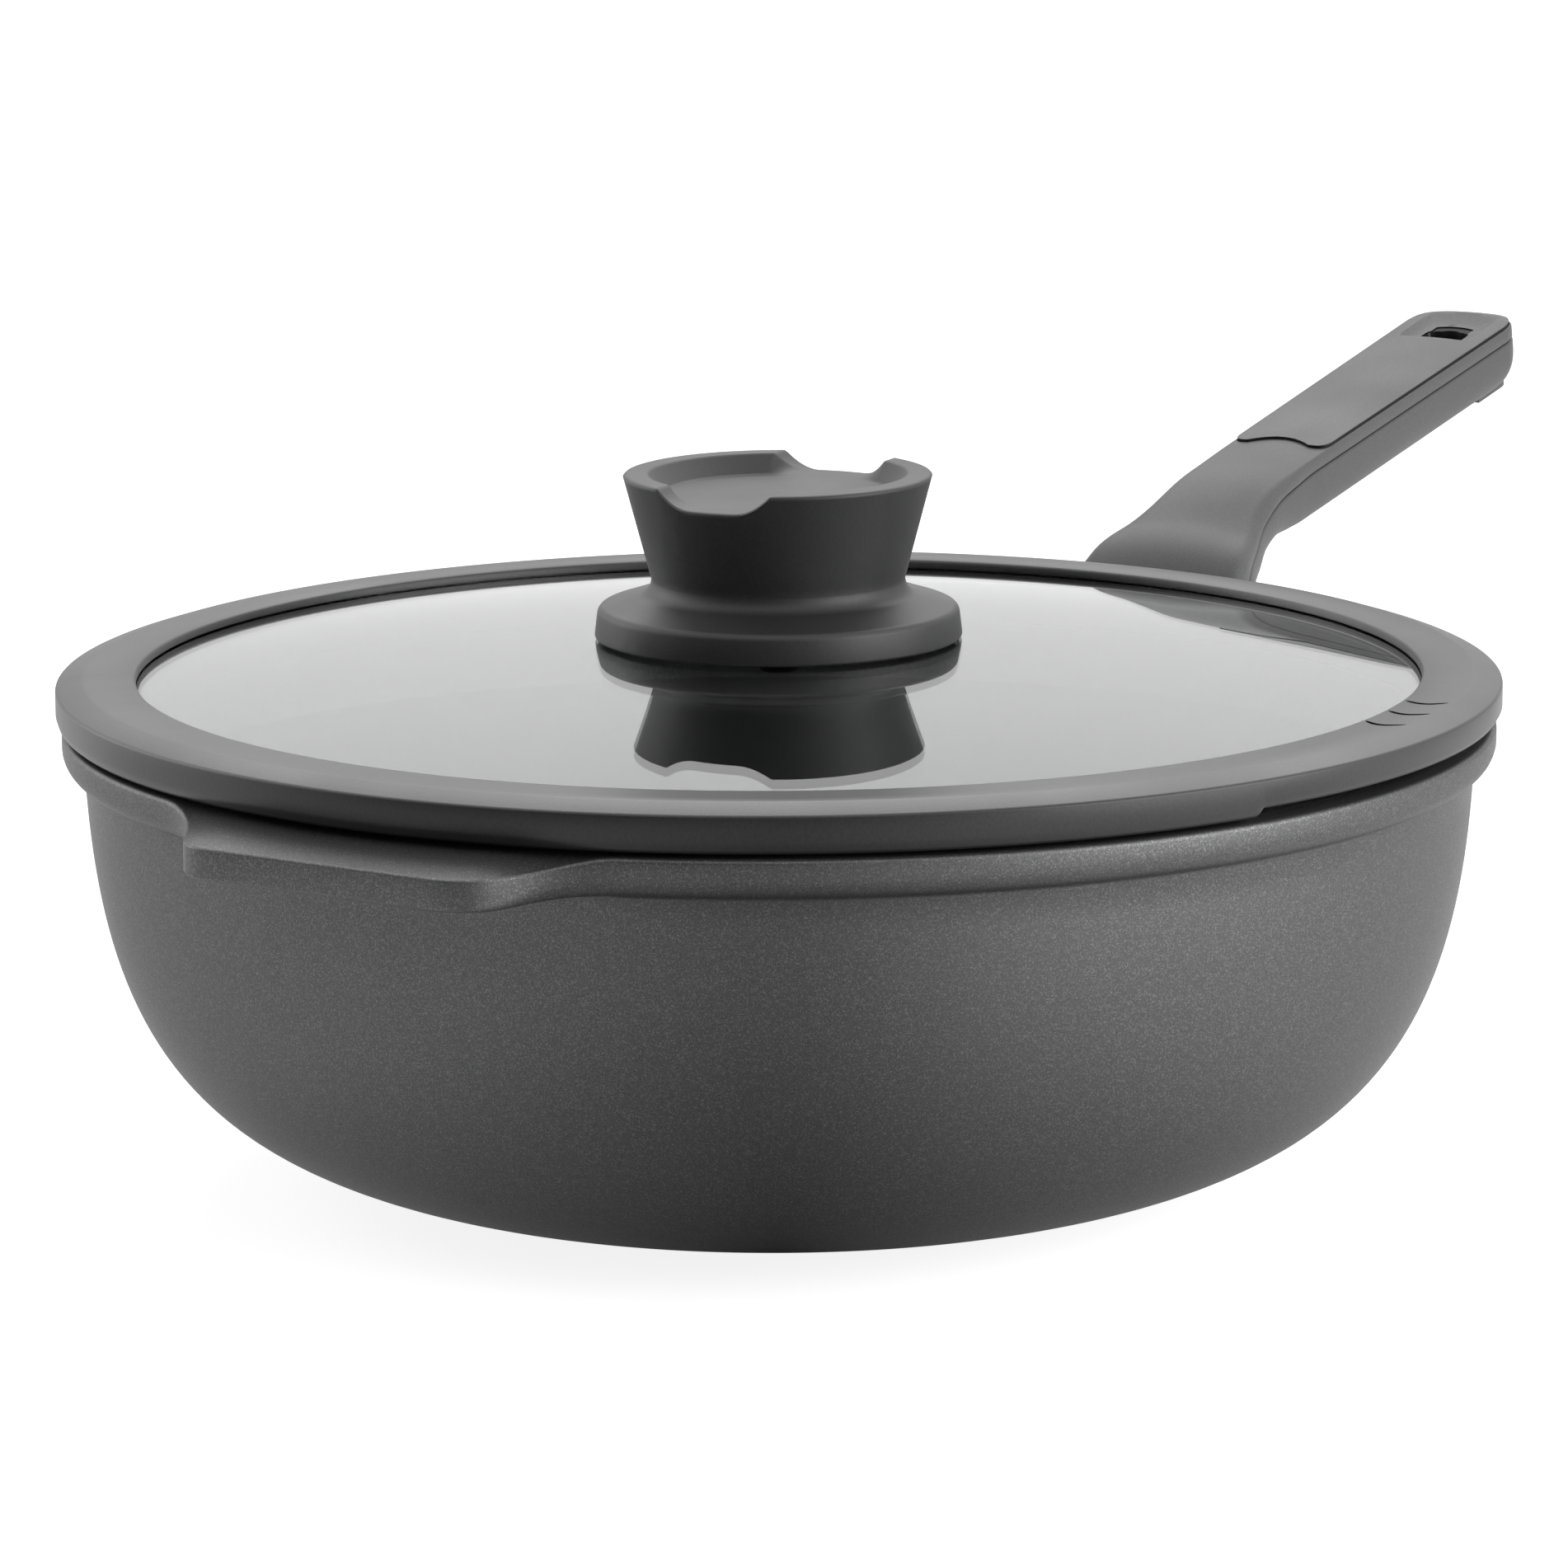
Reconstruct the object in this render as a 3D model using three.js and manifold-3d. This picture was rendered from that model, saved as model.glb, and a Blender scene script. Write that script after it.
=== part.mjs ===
// Wok with a lid: a cast bowl on a bonded induction disc, a long handle of two moulded shells, and a
// domed glass lid with a silicone rim and a cup-shaped knob.
// Millimetres, +Z up. The origin is the centre of the base, and the long handle points along +X.
import * as THREE from "three";
import { mergeVertices } from "three/addons/utils/BufferGeometryUtils.js";
import Module from "manifold-3d";

const wasm = await Module();
wasm.setup();

// Clearance between pieces that touch, and how far a cutter runs past the face that it opens
const FIT = 0.3;
const PAST = 2;

// Corners closer than this are one corner, and a search along a curve stops at this share of it
const SAME_CORNER = 1e-4;
const SAME_SHARE = 1e-5;

// How far a round edge's middle point lies in from the corner, as a share of its radius
const ROUND_CUT = 0.3;

// Facets round a full turn
const BOWL_FACETS = 64;
const KNOB_FACETS = 40;
const SMALL_FACETS = 18;
const CURVE_STEPS = 4;

// Bowl: rim, wall and base
const RIM_RADIUS = 143.4;
const RIM_LEDGE = 4.4;
const RIM_HEIGHT = 8;
const RIM_ROUND = 1.1;
const RIM_UNDERCUT = 4.7;
const BOWL_HEIGHT = 93.2;
const WALL = 3;
const WALL_DRAFT = 2.5;
const WALL_FULLNESS = 49.6;
const FOOT_SLOPE = 8;
const FOOT_FULLNESS = 50.4;
const FOOT_LAND = 2;
const FLOOR = 3.6;
const DISC_RADIUS = 70;
const DISC_THICKNESS = 2.4;
const DISC_PROUD = 1.5;
const DISC_CHAMFER = 0.4;
const WALL_STEPS = 9;
const RIM_ARC = [0, 30, 60, 90];

// Helper handle, cast in one with the rim, opposite the long handle
const HELPER_REACH = 12.6;
const HELPER_EDGE = 50;
const HELPER_ROOT_ANGLE = 22.5;
const HELPER_ROOT_SWEEP = 24;
const HELPER_CORNER_SWEEP = 14;
const HELPER_DROP = 2.75;
const HELPER_RAMP = 16;
const HELPER_RAMP_INSET = 3.5;
const HELPER_THICKNESS = 6.25;
const HELPER_EDGE_ROUND = 1.2;
const HELPER_SEAT = 3;
const HELPER_STEPS = 9;

// Cast lug inside the handle's neck, and the bolt that holds the handle to it
const LUG_WIDTH = 17;
const LUG_THICKNESS = 7.4;
const LUG_REACH = 15.5;
const LUG_STEPS = 5;
const BOLT_RADIUS = 2.5;
const BOLT_AT = 3;
const BOLT_HEAD_RADIUS = 4.6;
const BOLT_HEAD_HEIGHT = 3;
const BOLT_WASHER_RADIUS = 5.4;
const BOLT_WASHER_THICKNESS = 1;
const BOLT_SEAT = 2.8;

// Long handle: the seam between the shells runs from inside the wall, up the neck and along the grip.
// Each point of the neck is the distance out from the rim, the height above its top and half the width.
const NECK_SEAM = [
  [-24, -35.5, 23],
  [-9, -24, 23],
  [0.5, -14, 23],
  [5.5, -6.5, 22.4],
  [9.5, -0.8, 21.6],
  [14.8, 6.1, 19.2],
  [22.7, 10.5, 16.5],
  [29.6, 14.35, 14.4],
  [39.2, 18.6, 13.1],
  [48.8, 21.1, 12.4],
  [57.7, 23.2, 12.1],
];
const BEND_POINT = 7;
const HANDLE_REACH = 156.6;
const GRIP_SLOPE = 11.5;
const END_HALF_WIDTH = 13.1;
const GRIP_UPPER = 4;
const BEND_UPPER = 4.2;
const FOOT_UPPER = 8;
const GRIP_LOWER = 12.6;
const NECK_LOWER = 9.2;
const FOOT_LOWER = 12.5;
const GRIP_CROWN = 0.7;
const NECK_CROWN = 1.6;
const GRIP_CORNER = 0.5;
const NECK_CORNER = 3.2;
const LOWER_SQUARENESS = 3;
const END_CORNER = 9.5;
const END_BOW = 2.4;
const END_TOP_ROUND = 8;
const END_TOP_DROP = 2.6;
const END_LOW_ROUND = 14;
const END_LOW_RISE = 9;
const NECK_STATIONS = 13;
const END_STATIONS = 4;
const TOP_STEPS = 6;
const LOWER_STEPS = 8;

// Soft pad let into the top of the grip
const PAD_START = 3.4;
const PAD_FRONT_BOW = 3.1;
const PAD_MARGIN = 0.8;
const PAD_THICKNESS = 2;
const PAD_CORNER = 4;

// Hanging hole in a shallow scoop, with a flat tongue under the end of the grip
const HOLE_FROM_END = 12.6;
const HOLE_LENGTH = 9.2;
const HOLE_WIDTH = 10.8;
const HOLE_CORNER = 3;
const HOLE_ARCH = 0.8;
const SCOOP_FRONT = 1.5;
const SCOOP_LIP = 0.8;
const SCOOP_HALF_WIDTH = 8.6;
const SCOOP_SIDE = 2.6;
const SCOOP_PAST_HOLE = 1.2;
const SCOOP_RUNOUT = 10;
const SCOOP_CORNER = 2.2;
const SCOOP_FLOOR = 3.5;
const SCOOP_MOUTH = 5.2;
const TONGUE_FROM_END = 1.7;
const TONGUE_LENGTH = 16;
const TONGUE_WIDTH = 16;
const TONGUE_THICKNESS = 1.3;
const TONGUE_CORNER = 5;

// Screws that pull the two shells together from below
const SHELL_SCREW_FRONT = 12;
const SHELL_SCREW_TO_HOLE = 16;
const SHELL_SCREW_RADIUS = 1.5;
const SHELL_SCREW_HEAD_RADIUS = 2.9;
const SHELL_SCREW_HEAD_HEIGHT = 2;
const SHELL_SCREW_SEAT = 5.4;
const SHELL_SCREW_BITE = 1.5;

// Lid: silicone rim round a domed glass
const LID_TURN = 6;
const LID_OVERHANG = 1.1;
const LID_GAP = 1;
const LID_RIM_HEIGHT = 10;
const LID_RIM_WIDTH = 16;
const LID_CHAMFER_WIDTH = 5.6;
const LID_CHAMFER_DROP = 1.75;
const LID_SKIRT_CHAMFER = 2.4;
const LID_SKIRT_INSET = 1.44;
const LID_SKIRT_WIDTH = 3;
const LID_LIP_DEPTH = 4.8;
const LID_LIP_WIDTH = 4.4;
const LID_LIP_CLEARANCE = 0.7;
const LID_LIP_CHAMFER = 1;
const GLASS_THICKNESS = 4;
const GLASS_DOME_RADIUS = 1000;
const GLASS_BITE = 4.4;
const GLASS_DEPTH = 2;
const GLASS_HOLE_RADIUS = 5.5;
const GLASS_RINGS = 3;
const UNDER_GLASS_LIP = 1.3;
const VENT_HEADING = -87.7;
const VENT_ANGLE = 53.6;
const VENT_HEIGHT = 1.4;
const VENT_BEVEL = 0.5;
const VENT_STEPS = 13;

// Knob: a tapered cup on a flange, dished and notched on top to rest a spoon
const KNOB_TOP_RADIUS = 31;
const KNOB_NECK_RADIUS = 25.4;
const KNOB_HEIGHT = 31.5;
const FLANGE_RADIUS = 36.8;
const FLANGE_HEIGHT = 5;
const FLANGE_TAPER = 0.7;
const FLANGE_CROWN = 2.4;
const NECK_FILLET = 1.8;
const DISH_LAND = 5;
const DISH_DEPTH = 3.8;
const DISH_SLOPE = 6.2;
const NOTCH_WIDTH = 25;
const NOTCH_SHOULDER = 7;
const NOTCH_BROW = 1.6;
const NOTCH_SWEEP = 4.2;
const KNOB_EDGE = 0.6;

// Knob fixing: gasket and insert above the glass, grommet, washer and screw through it
const GASKET_RADIUS = 33;
const GASKET_THICKNESS = 0.5;
const INSERT_RADIUS = 6;
const INSERT_LENGTH = 12;
const KNOB_SCREW_RADIUS = 2.5;
const KNOB_SCREW_BITE = 9;
const KNOB_SCREW_HEAD_RADIUS = 4.8;
const KNOB_SCREW_HEAD_HEIGHT = 3;
const GROMMET_FLANGE = 9.5;
const GROMMET_THICKNESS = 1.2;
const KNOB_WASHER_RADIUS = 10;
const KNOB_WASHER_THICKNESS = 1;

// Screws: the head's crown and flat, and the tip's length and width, as shares of head and shank
const HEAD_CROWN = 0.4;
const HEAD_FLAT = 0.7;
const TIP_LENGTH = 0.6;
const TIP_WIDTH = 0.5;

// Finishes
const GRAPHITE = { color: 0x4a4a4b, roughness: 0.5, metalness: 0.3 };
const SOFT_GREY = { color: 0x6a6a6b, roughness: 0.6, metalness: 0 };
const PAD_GREY = { color: 0x8c8c8e, roughness: 0.7, metalness: 0 };
const SILICONE_GREY = { color: 0x707071, roughness: 0.75, metalness: 0 };
const KNOB_GREY = { color: 0x3a3a3b, roughness: 0.7, metalness: 0 };
const SEAL_BLACK = { color: 0x303031, roughness: 0.8, metalness: 0 };
const STEEL = { color: 0xb4b6b8, roughness: 0.3, metalness: 1 };
const BRASS = { color: 0xb59a5a, roughness: 0.4, metalness: 1 };
const GLASS = { color: 0xdfe6e6, roughness: 0.05, metalness: 0 };

const point = (x, y) => new THREE.Vector2(x, y);
const radians = THREE.MathUtils.degToRad;

// Solids

// A closed geometry as a solid: shared vertices merged, slivers on the axis dropped, faces turned out.
function solid(geometry) {
  const bare = geometry.clone();
  for (const name of Object.keys(bare.attributes)) {
    if (name !== "position") bare.deleteAttribute(name);
  }
  const merged = mergeVertices(bare, SAME_CORNER);
  const at = merged.attributes.position;
  const corner = (i) => new THREE.Vector3().fromBufferAttribute(at, i);
  const triangles = [];
  let volume = 0;
  for (let i = 0; i < merged.index.count; i += 3) {
    const [a, b, c] = [0, 1, 2].map((k) => merged.index.getX(i + k));
    if (a === b || b === c || c === a) continue;
    triangles.push([a, b, c]);
    volume += corner(a).dot(corner(b).cross(corner(c)));
  }
  const turned = volume < 0 ? triangles.map(([a, b, c]) => [a, c, b]) : triangles;
  const mesh = new wasm.Mesh({
    numProp: 3,
    vertProperties: new Float32Array(at.array),
    triVerts: new Uint32Array(turned.flat()),
  });
  return new wasm.Manifold(mesh);
}

// A profile of radius and height points turned round the Z axis.
function turned(profile, facets) {
  const lathe = new THREE.LatheGeometry(profile, facets);
  return solid(lathe.rotateX(Math.PI / 2));
}

// A profile that closes on itself, for a ring.
function turnedRing(profile, facets) {
  return turned([...profile, profile[0]], facets);
}

// A flat outline pushed along Z from low to high, then set in a frame.
function extruded(shape, low, high, frame) {
  const geometry = new THREE.ExtrudeGeometry(shape, {
    depth: high - low,
    bevelEnabled: false,
    curveSegments: CURVE_STEPS,
  });
  return solid(geometry.translate(0, 0, low).applyMatrix4(frame));
}

// Rings of matching points skinned from first to last, with both ends closed.
function skinned(rings, outline) {
  const count = outline.length;
  const vertices = rings.flat().flatMap((p) => [p.x, p.y, p.z]);
  const index = [];
  for (let i = 0; i + 1 < rings.length; i += 1) {
    for (let j = 0; j < count; j += 1) {
      const a = i * count + j;
      const b = i * count + ((j + 1) % count);
      index.push(a, b, a + count, b, b + count, a + count);
    }
  }
  const last = (rings.length - 1) * count;
  for (const [a, b, c] of THREE.ShapeUtils.triangulateShape(outline, [])) {
    index.push(a, c, b, last + a, last + b, last + c);
  }
  const geometry = new THREE.BufferGeometry();
  geometry.setAttribute("position", new THREE.Float32BufferAttribute(vertices, 3));
  geometry.setIndex(index);
  return solid(geometry);
}

// A solid as a named mesh with its own finish.
function piece(name, body, finish) {
  const { vertProperties, triVerts } = body.getMesh();
  const geometry = new THREE.BufferGeometry();
  geometry.setAttribute("position", new THREE.BufferAttribute(new Float32Array(vertProperties), 3));
  geometry.setIndex(new THREE.BufferAttribute(new Uint32Array(triVerts), 1));
  geometry.computeVertexNormals();
  const mesh = new THREE.Mesh(geometry, new THREE.MeshStandardMaterial(finish));
  mesh.name = name;
  return mesh;
}

// Screw-like turned piece: a shank along +Z with its head below the seat at z = 0.
function screw(shankRadius, shankLength, headRadius, headHeight) {
  const crown = headHeight * HEAD_CROWN;
  return [
    point(0, -headHeight),
    point(headRadius * HEAD_FLAT, -headHeight),
    point(headRadius, crown - headHeight),
    point(headRadius, 0),
    point(shankRadius, 0),
    point(shankRadius, shankLength - shankRadius * TIP_LENGTH),
    point(shankRadius * TIP_WIDTH, shankLength),
    point(0, shankLength),
  ];
}

// Flat washer with its upper face at the given height.
function washer(inner, outer, top, thickness) {
  const low = top - thickness;
  return [point(inner, low), point(outer, low), point(outer, top), point(inner, top)];
}

// Bowl

const rimFoot = BOWL_HEIGHT - RIM_HEIGHT;
const wallTop = point(RIM_RADIUS - RIM_LEDGE, rimFoot);
const wallFoot = point(DISC_RADIUS + FOOT_LAND, DISC_PROUD);
const draft = radians(WALL_DRAFT);
const footSlope = radians(FOOT_SLOPE);
const wallCurve = new THREE.CubicBezierCurve(
  wallFoot,
  point(
    wallFoot.x + FOOT_FULLNESS * Math.cos(footSlope),
    wallFoot.y + FOOT_FULLNESS * Math.sin(footSlope),
  ),
  point(
    wallTop.x - WALL_FULLNESS * Math.sin(draft),
    wallTop.y - WALL_FULLNESS * Math.cos(draft),
  ),
  wallTop,
);
const discSeat = DISC_THICKNESS + FIT;
const floorTop = discSeat + FLOOR;
const rimInner = wallTop.x - WALL;

// The wall's curve moved outwards, or inwards where the distance is negative.
function wallPoints(distance) {
  return Array.from({ length: WALL_STEPS + 1 }, (_, i) => {
    const at = wallCurve.getPoint(i / WALL_STEPS);
    const along = wallCurve.getTangent(i / WALL_STEPS);
    return point(at.x + along.y * distance, at.y - along.x * distance);
  });
}

// Outside of the bowl as a solid plug, grown all round by a clearance.
function bowlPlug(grow) {
  const skin = wallPoints(grow);
  const rim = RIM_ARC.map((angle) => {
    const turn = radians(90 - angle);
    return point(
      wallTop.x + (RIM_LEDGE + grow) * Math.cos(turn),
      rimFoot + RIM_UNDERCUT - (RIM_UNDERCUT + grow) * Math.sin(turn),
    );
  });
  return turned(
    [
      point(0, skin[0].y),
      ...skin,
      ...rim.slice(1),
      point(RIM_RADIUS + grow, BOWL_HEIGHT - RIM_ROUND),
      point(RIM_RADIUS + grow - RIM_ROUND * ROUND_CUT, BOWL_HEIGHT - RIM_ROUND * ROUND_CUT),
      point(RIM_RADIUS + grow - RIM_ROUND, BOWL_HEIGHT + grow),
      point(0, BOWL_HEIGHT + grow),
    ],
    BOWL_FACETS,
  );
}

// Inside of the bowl as a solid, with the inner corner of the rim rounded.
function bowlCavity() {
  const inside = wallPoints(-WALL).filter((p) => p.y > floorTop + FIT);
  return turned(
    [
      point(0, floorTop),
      point(inside[0].x - WALL, floorTop),
      ...inside,
      point(rimInner, BOWL_HEIGHT - RIM_ROUND),
      point(rimInner + RIM_ROUND, BOWL_HEIGHT),
      point(rimInner + RIM_ROUND, BOWL_HEIGHT + PAST),
      point(0, BOWL_HEIGHT + PAST),
    ],
    BOWL_FACETS,
  );
}

// Helper handle: the rim's band drawn outwards in S-curves to a straight edge, while its outer part
// eases down to the helper's top. Each station has its direction, reach, height and change of section.
const helperEdge = RIM_RADIUS + HELPER_REACH;
const helperTop = BOWL_HEIGHT - HELPER_DROP;
const helperBottom = helperTop - HELPER_THICKNESS;

function helperStations() {
  const root = radians(HELPER_ROOT_ANGLE);
  const half = HELPER_EDGE / 2;
  const start = point(RIM_RADIUS * Math.cos(root), RIM_RADIUS * Math.sin(root));
  const side = new THREE.CubicBezierCurve(
    start,
    point(
      start.x + HELPER_ROOT_SWEEP * Math.sin(root),
      start.y - HELPER_ROOT_SWEEP * Math.cos(root),
    ),
    point(helperEdge, half + HELPER_CORNER_SWEEP),
    point(helperEdge, half),
  ).getPoints(HELPER_STEPS);
  const other = side.map((p) => point(p.x, -p.y)).reverse();
  const rampTop = start.y - HELPER_RAMP_INSET;
  return [...side, point(helperEdge, 0), ...other].map((p) => {
    const ramp = THREE.MathUtils.smoothstep(Math.abs(p.y), rampTop - HELPER_RAMP, rampTop);
    return {
      turn: Math.PI - Math.atan2(p.y, p.x),
      out: p.length(),
      top: helperTop + HELPER_DROP * ramp,
      grown: THREE.MathUtils.smoothstep(p.length() - RIM_RADIUS, 0, HELPER_REACH),
    };
  });
}

function skinnedRound(list, section) {
  const sections = list.map(section);
  const rings = sections.map((outline, i) => {
    const { turn } = list[i];
    return outline.map((p) => new THREE.Vector3(p.x * Math.cos(turn), p.x * Math.sin(turn), p.y));
  });
  return skinned(rings, sections[0]);
}

function helperBand() {
  return skinnedRound(helperStations(), ({ out, grown }) => {
    const inner = wallTop.x - WALL / 2;
    const bottom = rimFoot + (helperBottom - rimFoot) * grown;
    const roundOut = RIM_LEDGE + (HELPER_EDGE_ROUND - RIM_LEDGE) * grown;
    const roundUp = RIM_UNDERCUT + (HELPER_EDGE_ROUND - RIM_UNDERCUT) * grown;
    const bullnose = RIM_ARC.map((angle) => {
      const turn = radians(90 - angle);
      return point(out - roundOut * (1 - Math.cos(turn)), bottom + roundUp * (1 - Math.sin(turn)));
    });
    return [point(inner, bottom), ...bullnose, point(out, BOWL_HEIGHT), point(inner, BOWL_HEIGHT)];
  });
}

// What is cut away over the helper handle: its top falls from the lid's seat to the outer edge.
function helperCut() {
  return skinnedRound(helperStations(), ({ out, top }) => {
    const inner = RIM_RADIUS - HELPER_SEAT;
    const high = BOWL_HEIGHT + PAST;
    return [
      point(inner, BOWL_HEIGHT),
      point(out - RIM_ROUND, top),
      point(out + PAST, top - RIM_ROUND - PAST),
      point(out + PAST, high),
      point(inner, high),
    ];
  });
}

// Handle seam

const slope = radians(GRIP_SLOPE);
const neckPoints = NECK_SEAM.map(
  ([out, up]) => new THREE.Vector3(RIM_RADIUS + out, 0, BOWL_HEIGHT + up),
);
const gripStart = neckPoints[neckPoints.length - 1];
const gripAlong = new THREE.Vector3(Math.cos(slope), 0, Math.sin(slope));
const across = new THREE.Vector3(0, 1, 0);
const gripUp = new THREE.Vector3().crossVectors(gripAlong, across);
const gripLength = (RIM_RADIUS + HANDLE_REACH - gripStart.x) / Math.cos(slope);
const neckSeam = new THREE.CatmullRomCurve3([
  ...neckPoints,
  gripStart.clone().addScaledVector(gripAlong, gripLength / 2),
]);
const neckEnd = (neckPoints.length - 1) / neckPoints.length;
const neckHalf = NECK_SEAM.map((row) => row[2]);
const startHalf = neckHalf[neckHalf.length - 1];
const gripHalf = (along) => startHalf + ((END_HALF_WIDTH - startHalf) * along) / gripLength;
const neckWidths = new THREE.SplineCurve(
  [...neckHalf, gripHalf(gripLength / 2)].map((half, i) => point(i, half)),
);

// Frame on the seam: X along it, Y across the handle, Z up from the seam.
function seamFrame(at, along) {
  const up = new THREE.Vector3().crossVectors(along, across);
  return new THREE.Matrix4().makeBasis(along, across, up).setPosition(at);
}

const gripFrame = seamFrame(gripStart, gripAlong);

function neckFrame(share) {
  return seamFrame(
    neckSeam.getPoint(share * neckEnd),
    neckSeam.getTangent(share * neckEnd),
  );
}

// Share of the neck at which the seam is a given distance out from the rim.
function neckShare(out) {
  let low = 0;
  let high = 1;
  while (high - low > SAME_SHARE) {
    const middle = (low + high) / 2;
    const reached = neckSeam.getPoint(middle * neckEnd).x - RIM_RADIUS;
    if (reached < out) low = middle;
    else high = middle;
  }
  return low;
}

// How far an end of the given length has rounded over, from 0 where it starts to 1 at the tip.
function roundedOver(along, length) {
  const past = Math.min(1, Math.max(0, along - gripLength + length) / length);
  return 1 - Math.sqrt(1 - past * past);
}

// Stations along the handle, each with its frame, half width, how far the neck has turned into the
// grip, and how far the end has rounded over on top and below.
const stations = [];
for (let i = 0; i < NECK_STATIONS; i += 1) {
  const share = i / NECK_STATIONS;
  const half = neckWidths.getPoint(share * neckEnd).y;
  stations.push({ frame: neckFrame(share), half, share, overTop: 0, overLow: 0 });
}
const roundStart = gripLength - END_LOW_ROUND;
const gripMarks = [0, roundStart / 2, roundStart];
for (let i = 1; i <= END_STATIONS; i += 1) {
  gripMarks.push(roundStart + END_LOW_ROUND * Math.sin((Math.PI / 2) * (i / END_STATIONS)));
}
gripMarks.forEach((along) => {
  const at = gripStart.clone().addScaledVector(gripAlong, along);
  stations.push({
    frame: seamFrame(at, gripAlong),
    half: gripHalf(along),
    share: 1,
    overTop: roundedOver(along, END_TOP_ROUND),
    overLow: roundedOver(along, END_LOW_ROUND),
  });
});

const footShare = neckShare(0);
const bendShare = neckShare(NECK_SEAM[BEND_POINT][0]);

// A size that eases from the foot, past the bend, to the grip.
function eased(share, foot, bend, grip) {
  if (share < bendShare) {
    return foot + (bend - foot) * THREE.MathUtils.smoothstep(share, footShare, bendShare);
  }
  return bend + (grip - bend) * THREE.MathUtils.smoothstep(share, bendShare, 1);
}

const upperEdge = ({ share, overTop }) =>
  eased(share, FOOT_UPPER, BEND_UPPER, GRIP_UPPER) - END_TOP_DROP * overTop;
const lowerDepth = ({ share, overLow }) =>
  eased(share, FOOT_LOWER, NECK_LOWER, GRIP_LOWER) - END_LOW_RISE * overLow;
const crown = ({ share }) => eased(share, NECK_CROWN, NECK_CROWN, GRIP_CROWN);
const shellCorner = ({ share }) => eased(share, NECK_CORNER, NECK_CORNER, GRIP_CORNER);

// Top line of the upper shell's section, from +Y to -Y, at a distance below the outer surface.
function topLine(station, half, sunk) {
  const edge = upperEdge(station) - sunk;
  return Array.from({ length: TOP_STEPS + 1 }, (_, i) => {
    const side = 1 - (2 * i) / TOP_STEPS;
    return point(half * side, edge + crown(station) * (1 - side * side));
  });
}

function upperSection(station) {
  const { half } = station;
  const edge = upperEdge(station);
  const corner = Math.min(shellCorner(station), edge - FIT);
  const cut = corner * ROUND_CUT;
  return [
    point(-half, FIT / 2),
    point(half, FIT / 2),
    point(half, edge - corner),
    point(half - cut, edge - cut),
    ...topLine(station, half - shellCorner(station), 0),
    point(cut - half, edge - cut),
    point(-half, edge - corner),
  ];
}

function lowerSection(station) {
  const { half } = station;
  const depth = lowerDepth(station) - FIT / 2;
  const power = 2 / LOWER_SQUARENESS;
  return Array.from({ length: LOWER_STEPS + 1 }, (_, i) => {
    const turn = Math.PI * (1 + i / LOWER_STEPS);
    const side = Math.cos(turn);
    const down = Math.abs(Math.sin(turn));
    const reach = Math.sign(side) * Math.abs(side) ** power;
    return point(half * reach, -FIT / 2 - depth * down ** power);
  });
}

// A section drawn at every station and skinned along the handle.
function alongHandle(section, list = stations) {
  const sections = list.map(section);
  const rings = list.map(({ frame }, i) =>
    sections[i].map((p) => new THREE.Vector3(0, p.x, p.y).applyMatrix4(frame)),
  );
  return skinned(rings, sections[0]);
}

// Plan of the whole handle seen square to the grip, with its rounded end.
function handlePlan() {
  const from = -RIM_RADIUS - HANDLE_REACH;
  const wide = Math.max(...neckHalf) + PAST;
  const side = END_HALF_WIDTH;
  const turn = gripLength - END_CORNER - END_BOW;
  const shoulder = gripLength - END_BOW / 2;
  const shape = new THREE.Shape();
  shape.moveTo(from, -wide);
  shape.lineTo(0, -wide);
  shape.lineTo(0, -side);
  shape.lineTo(turn, -side);
  shape.quadraticCurveTo(gripLength - END_BOW, -side, shoulder, END_CORNER - side);
  shape.quadraticCurveTo(gripLength, 0, shoulder, side - END_CORNER);
  shape.quadraticCurveTo(gripLength - END_BOW, side, turn, side);
  shape.lineTo(0, side);
  shape.lineTo(0, wide);
  shape.lineTo(from, wide);
  return shape;
}

const holeFar = gripLength - HOLE_FROM_END;
const holeNear = holeFar - HOLE_LENGTH;

// Hanging hole: a rounded rectangle, arched towards the end.
function holeOutline() {
  const far = holeFar;
  const near = holeNear;
  const half = HOLE_WIDTH / 2;
  const corner = HOLE_CORNER;
  const spring = far - HOLE_ARCH;
  const shape = new THREE.Shape();
  shape.moveTo(near, corner - half);
  shape.quadraticCurveTo(near, -half, near + corner, -half);
  shape.lineTo(spring - corner, -half);
  shape.quadraticCurveTo(spring, -half, spring, corner - half);
  shape.quadraticCurveTo(far + HOLE_ARCH, 0, spring, half - corner);
  shape.quadraticCurveTo(spring, half, spring - corner, half);
  shape.lineTo(near + corner, half);
  shape.quadraticCurveTo(near, half, near, half - corner);
  return shape;
}

// Level of the scoop: a rounded rectangle, from its front to its far end.
function scoopLevel(near, far, half, height) {
  const corner = SCOOP_CORNER;
  const shape = new THREE.Shape();
  shape.moveTo(near, corner - half);
  shape.quadraticCurveTo(near, -half, near + corner, -half);
  shape.lineTo(far - corner, -half);
  shape.quadraticCurveTo(far, -half, far, corner - half);
  shape.lineTo(far, half - corner);
  shape.quadraticCurveTo(far, half, far - corner, half);
  shape.lineTo(near + corner, half);
  shape.quadraticCurveTo(near, half, near, half - corner);
  const outline = shape.getPoints(CURVE_STEPS);
  const ring = outline.map((p) => new THREE.Vector3(p.x, p.y, height).applyMatrix4(gripFrame));
  return { outline, ring };
}

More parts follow.
